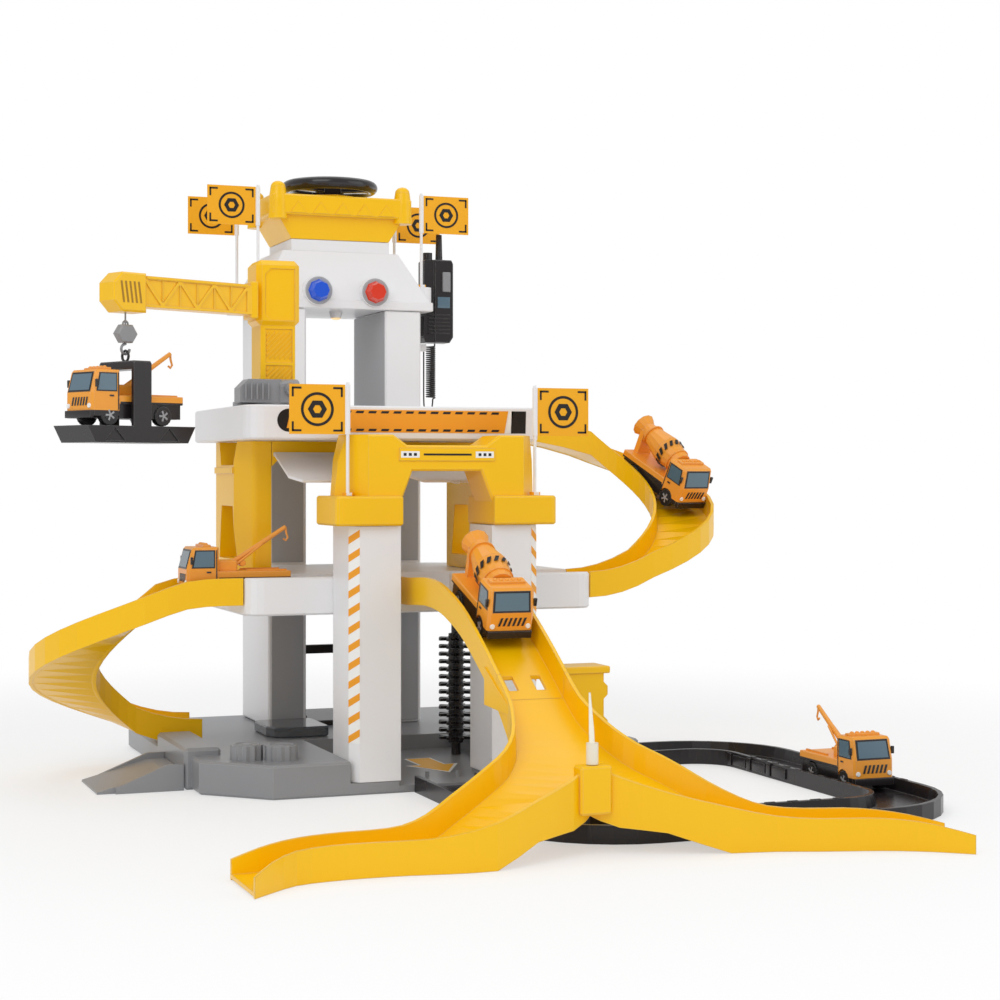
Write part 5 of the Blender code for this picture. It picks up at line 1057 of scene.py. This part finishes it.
skirt = slab([(SKIRT_X, y, z) for y, z in SKIRT_OUTLINE], (SKIRT_DEPTH, 0, 0))
piece("chute_skirt", [skirt], yellow)


# Trucks: name, kind, place, heading and pitch in degrees, body, and the start of the axles' names
LANE_1 = 127.3
HOOK = (-206.93, -115.01)
TRUCKS = (
    ("tow_truck_deck", "tow", (-128, -91, LANE_1), 180, 0, "garage", "deck_truck"),
    ("mixer_truck_side", "mixer", (227.455, -17.931, 198.7), -72, 26.7, "garage", "side_mixer"),
    ("mixer_truck_front", "mixer", (0, -244, 118.5), -90, 19, "garage", "front_mixer"),
    ("tow_truck_road", "tow", (252, -258, 3.3), -90, 0, "garage", "road_truck"),
    ("tow_truck_pallet", "tow", (*HOOK, 244.3), JIB_HEADING, 0, "hoist", None),
)

# Cab, in the truck's own frame: on the ground, +X forward. The front leans back above its waist
CAB_FRONT = 36
CAB_HALF = 15
CAB_WAIST = 21
CAB_LEAN = 3.5 / 13.4
SCREEN_TAPER = 0.96

# Windows and their black seals: half width, foot and top in front, and outlines in x and z at the sides
WINDSCREEN = (11.2, 22.6, 33.2)
WINDSCREEN_SEAL = (12.6, 21.4, 34.4)
SIDE_WINDOW = ((17.6, 22.6), (31.6, 22.6), (29.6, 33.2), (17.6, 33.2))
SIDE_SEAL = ((16.8, 21.8), (32.8, 21.8), (30.4, 34.0), (16.8, 34.0))

# How far a panel's back stands proud of the cab, and its depth
SEAL_LAY = (-0.05, 0.25)
PANE_LAY = (0.25, 0.2)
SIDE_SEAL_LAY = (-0.05, 0.2)
SIDE_PANE_LAY = (0.15, 0.15)

# Spans in x, y and z, and the radius of the edges
BUMPER = ((34.6, 37.2), (-14.6, 14.6), (4.6, 9.4), 0.5)
MIRROR = ((32.2, 33.8), (15, 17), (24.5, 29.5), 0.4)
DOOR_GAP = ((15.4, 16.1), (15, 15.3), (10, 34), 0.0)
DOOR_HANDLE = ((19.5, 22.5), (15, 15.5), (18.6, 19.6), 0.0)

# Slanted bars of the grille, headlights and roof lamps
GRILLE_BARS = 6
GRILLE_START = -8.2
GRILLE_PITCH = 3.1
GRILLE_BAR = ((0, 12.6), (1.5, 12.6), (3.1, 18.0), (1.6, 18.0))
GRILLE_DEPTH = 0.3
HEADLIGHT_X = (35.9, 36.7)
HEADLIGHT_Y = 11.8
HEADLIGHT_Z = 12.4
HEADLIGHT_RADIUS = 1.7
HEADLIGHT_FRONT = 1.4
ROOF_LAMPS_Y = (-8, -4, 0, 4, 8)
ROOF_LAMP_X = 21.7
ROOF_LAMP_Z = 37.7
ROOF_LAMP_RADIUS = 1.5
ROOF_LAMP_SQUASH = 0.75


def cab_front(z):
    """How far forward the cab's front stands at a height."""
    return CAB_FRONT - CAB_LEAN * max(z - CAB_WAIST, 0)


def front_panel(sizes, proud, depth):
    half, low, high = sizes
    top_half = half * SCREEN_TAPER
    outline = ((low, -half), (low, half), (high, top_half), (high, -top_half))
    return slab([(cab_front(z) + proud, y, z) for z, y in outline], (depth, 0, 0))


def side_panel(outline, side, proud, depth):
    return slab([(x, side * (CAB_HALF + proud), z) for x, z in outline], (0, side * depth, 0))


def cab_trim(name, body, matrix):
    dark = [front_panel(WINDSCREEN_SEAL, *SEAL_LAY), box(*BUMPER)]
    panes = [front_panel(WINDSCREEN, *PANE_LAY)]
    lights = []
    for side in SIDES:
        dark.append(side_panel(SIDE_SEAL, side, *SIDE_SEAL_LAY))
        panes.append(side_panel(SIDE_WINDOW, side, *SIDE_PANE_LAY))
        for x, y, z, edge in (MIRROR, DOOR_GAP, DOOR_HANDLE):
            dark.append(box(x, on_side(side, y), z, edge))
        ends = [(x, side * HEADLIGHT_Y, HEADLIGHT_Z) for x in HEADLIGHT_X]
        lights.append(rod(*ends, HEADLIGHT_RADIUS, sides=20, end_radius=HEADLIGHT_FRONT))
    for index in range(GRILLE_BARS):
        y = GRILLE_START + GRILLE_PITCH * index
        dark.append(slab([(CAB_FRONT, y + shift, z) for shift, z in GRILLE_BAR], (GRILLE_DEPTH, 0, 0)))
    roof = [dome((ROOF_LAMP_X, y, ROOF_LAMP_Z), ROOF_LAMP_RADIUS, ROOF_LAMP_SQUASH) for y in ROOF_LAMPS_Y]
    piece(name + "_cab_trim", dark, black, body, matrix)
    piece(name + "_windows", panes, glass, body, matrix)
    piece(name + "_headlights", lights, print_white, body, matrix)
    piece(name + "_roof_lamps", roof, orange, body, matrix)


# Tow truck: a strut and a side rail on each side, and the boom's pin
STRUT_FOOT = (2, 4.4, 22)
STRUT_TOP = (-19, 1.8, 37.4)
STRUT_RADIUS = 0.8
BED_RAIL = ((-34, -6), (9.4, 11), (19.3, 20.6), 0.3)
BOOM_PIN = (-5, 4, 24.5)
BOOM_PIN_RADIUS = 2.2


def boom_trim(name, body, matrix):
    shapes = []
    x, y, z, edge = BED_RAIL
    for side in SIDES:
        foot, top = ((place[0], side * place[1], place[2]) for place in (STRUT_FOOT, STRUT_TOP))
        shapes.append(rod(foot, top, STRUT_RADIUS, sides=12))
        shapes.append(box(x, on_side(side, y), z, edge))
    pin_x, pin_reach, pin_z = BOOM_PIN
    shapes.append(rod((pin_x, -pin_reach, pin_z), (pin_x, pin_reach, pin_z), BOOM_PIN_RADIUS, sides=20))
    piece(name + "_boom_trim", shapes, orange, body, matrix)


# Mixer: the drum's axis, slanted bars round its widest part, and rings as shares of its length and radii
DRUM_START = Vector((12.5, 0, 30))
DRUM_END = Vector((-33.5, 0, 38.5))
HAZARD_SHARE = 0.30
HAZARD_RADIUS = 11.45
HAZARD_COUNT = 14
HAZARD_HALF = 2.2
HAZARD_DEPTH = 0.35

# Corners of a bar: which end, how much of a pitch round the drum, and how far off its radius
HAZARD_BAR = ((-1, 0, -0.1), (1, 0.45, 0.45), (1, 0.95, 0.45), (-1, 0.5, -0.1))
DRUM_RINGS = ((0.10, 10.3), (0.80, 9.1))
DRUM_RING_WIDTH = 1.1


def drum_trim(name, body, matrix):
    axis = (DRUM_END - DRUM_START).normalized()
    across = Vector((0, 1, 0))
    up = axis.cross(across)
    centre = DRUM_START.lerp(DRUM_END, HAZARD_SHARE)
    bars = []
    for index in range(HAZARD_COUNT):
        corners = []
        for end, turn, rise in HAZARD_BAR:
            angle = math.tau * (index + turn) / HAZARD_COUNT
            outward = across * math.cos(angle) + up * math.sin(angle)
            corners.append(centre + axis * end * HAZARD_HALF + outward * (HAZARD_RADIUS + rise))
        outward = (sum(corners, Vector()) / len(corners) - centre).normalized()
        bars.append(slab(corners, outward * HAZARD_DEPTH))
    piece(name + "_hazard", bars, ink, body, matrix)
    rings = []
    for share, radius in DRUM_RINGS:
        start = DRUM_START.lerp(DRUM_END, share)
        rings.append(rod(start, start + axis * DRUM_RING_WIDTH, radius, sides=28))
    piece(name + "_drum_rings", rings, orange, body, matrix)


# Wheels: the axles' places along the truck, then hub, spokes from the hub's face, and treads
AXLES_X = {"front": 22, "rear": -20}
AXLE_Z = 6.5
WHEEL_FACE = 14.5
HUB_RADIUS = 3.9
HUB_DEPTH = 0.25
NUT_RADIUS = 1.2
NUT_REACH = (0.2, 0.6)
HUB_SPOKES = 5
HUB_SPOKE = ((0.8, -0.5), (3.6, -0.7), (3.6, 0.7), (0.8, 0.5))
HUB_SPOKE_DEPTH = 0.3
TREADS = 20
TREAD_RADIUS = 6.3
TREAD_MIDDLE = 12
TREAD_HALF = 2.3
TREAD_HALF_WIDTH = 0.45
TREAD_DEPTH = 0.3


def round_wheel(count):
    """For each of several places round a wheel, the directions outward and along its rim."""
    for index in range(count):
        angle = math.tau * index / count
        yield Vector((math.cos(angle), 0, math.sin(angle))), Vector((-math.sin(angle), 0, math.cos(angle)))


def wheel_trim(name, label, body, matrix):
    """Hubs with five spokes on both wheels of an axle, and treads on the tyres."""
    x = AXLES_X[label]
    hubs = []
    spokes = []
    treads = []
    for side in SIDES:
        hub, inner, outer = (Vector((x, side * (WHEEL_FACE + reach), AXLE_Z))
                             for reach in (HUB_DEPTH, *NUT_REACH))
        hubs.append(rod((x, side * WHEEL_FACE, AXLE_Z), hub, HUB_RADIUS, sides=28))
        spokes.append(rod(inner, outer, NUT_RADIUS, sides=16))
        for outward, along in round_wheel(HUB_SPOKES):
            corners = [inner + outward * a + along * b for a, b in HUB_SPOKE]
            spokes.append(slab(corners, (0, side * HUB_SPOKE_DEPTH, 0)))
        for outward, along in round_wheel(TREADS):
            centre = Vector((x, side * TREAD_MIDDLE, AXLE_Z)) + outward * TREAD_RADIUS
            half, across = along * TREAD_HALF_WIDTH, Vector((0, TREAD_HALF, 0))
            corners = [centre + half * (2 * i - 1) + across * (2 * j - 1) for i, j in SQUARE]
            treads.append(slab(corners, outward * TREAD_DEPTH))
    piece(name + "_" + label + "_hubs", hubs, black, body, matrix)
    piece(name + "_" + label + "_spokes", spokes, panel_gray, body, matrix)
    piece(name + "_" + label + "_treads", treads, tyre, body, matrix)


for name, kind, place, heading, pitch, body, axles in TRUCKS:
    turn = (0.0, math.radians(pitch), math.radians(heading))
    matrix = Matrix.Translation(metres(place)) @ Euler(turn).to_matrix().to_4x4()
    wear(name, plastic(name + " plastic", ORANGE, 0.33, mask=truck_mask(place, turn), second=BLACK))
    cab_trim(name, body, matrix)
    load_trim = boom_trim if kind == "tow" else drum_trim
    load_trim(name, body, matrix)
    for label in AXLES_X:
        if axles:
            wear(name + "_" + label + "_wheels", tyre)
        wheel_trim(name, label, axles + "_" + label + "_axle" if axles else body, matrix)


# Floor, light and world, in metres
FLOOR_SIZE = 40.0
FLOOR_Z = -0.2 * MM
FLOOR_COLOUR = (0.94, 0.94, 0.94, 1.0)
FADE_START = 0.35
FADE_END = 0.85
FADE_LEAST = 0.5
LIGHT_COLOUR = (0.965, 0.985, 1.0)

# Name, place, target, size and power
LIGHTS = (
    ("key", (-1.1, -1.3, 1.5), (0, -0.1, 0.15), 1.4, 12.5),
    ("fill", (1.5, -1.1, 0.9), (0, -0.1, 0.2), 1.4, 5.5),
    ("top", (0.2, 0.5, 1.8), (0, 0, 0.2), 1.6, 6.5),
)

# How strongly the world lights the scene, against 1 where the camera sees it
WORLD_LEVEL = 0.62


def floor_material():
    """A pale floor that fades to white away from the object, for the camera and for reflections."""
    material = bpy.data.materials.new("floor")
    material.use_nodes = True
    tree = material.node_tree
    shader = tree.nodes["Principled BSDF"]
    shader.inputs["Base Color"].default_value = FLOOR_COLOUR
    shader.inputs["Roughness"].default_value = 0.6
    shader.inputs["Specular IOR Level"].default_value = 0.2
    place = node(tree, "ShaderNodeTexCoord")
    away = node(tree, "ShaderNodeVectorMath", operation="LENGTH")
    tree.links.new(place.outputs["Object"], away.inputs[0])
    fade = node(tree, "ShaderNodeMapRange",
                {"From Min": FADE_START, "From Max": FADE_END, "To Min": FADE_LEAST},
                interpolation_type="SMOOTHSTEP")
    tree.links.new(away.outputs["Value"], fade.inputs["Value"])
    rays = node(tree, "ShaderNodeLightPath")
    seen = combine(tree, rays.outputs["Is Camera Ray"], rays.outputs["Is Glossy Ray"], "MAXIMUM")
    share = combine(tree, seen, fade.outputs["Result"], "MULTIPLY")
    glow = node(tree, "ShaderNodeEmission", {"Color": PURE_WHITE, "Strength": 1.0})
    mix = node(tree, "ShaderNodeMixShader")
    tree.links.new(share, mix.inputs[0])
    tree.links.new(shader.outputs[0], mix.inputs[1])
    tree.links.new(glow.outputs[0], mix.inputs[2])
    tree.links.new(mix.outputs[0], tree.nodes["Material Output"].inputs["Surface"])
    return material


def build_floor():
    shape = bmesh.new()
    bmesh.ops.create_grid(shape, x_segments=1, y_segments=1, size=FLOOR_SIZE)
    mesh = bpy.data.meshes.new("floor")
    shape.to_mesh(mesh)
    shape.free()
    mesh.materials.append(floor_material())
    floor = bpy.data.objects.new("floor", mesh)
    floor.location = (0, 0, FLOOR_Z)
    bpy.context.scene.collection.objects.link(floor)


def build_lights():
    for name, place, target, size, power in LIGHTS:
        light = bpy.data.lights.new(name, "AREA")
        light.size = size
        light.energy = power
        light.color = LIGHT_COLOUR
        lamp = bpy.data.objects.new(name, light)
        lamp.location = place
        lamp.rotation_euler = (Vector(target) - Vector(place)).to_track_quat("-Z", "Y").to_euler()
        bpy.context.scene.collection.objects.link(lamp)


def build_world():
    """A world that the camera sees white and that lights the scene a little less."""
    world = bpy.data.worlds.new("studio")
    bpy.context.scene.world = world
    world.use_nodes = True
    tree = world.node_tree
    sky = tree.nodes["Background"]
    sky.inputs["Color"].default_value = PURE_WHITE
    rays = node(tree, "ShaderNodeLightPath")
    seen = combine(tree, rays.outputs["Is Camera Ray"], rays.outputs["Is Transmission Ray"], "MAXIMUM")
    level = node(tree, "ShaderNodeMapRange", {"To Min": WORLD_LEVEL, "To Max": 1.0})
    tree.links.new(seen, level.inputs["Value"])
    tree.links.new(level.outputs["Result"], sky.inputs["Strength"])


build_floor()
build_lights()
build_world()
bpy.context.scene.view_settings.view_transform = "Standard"
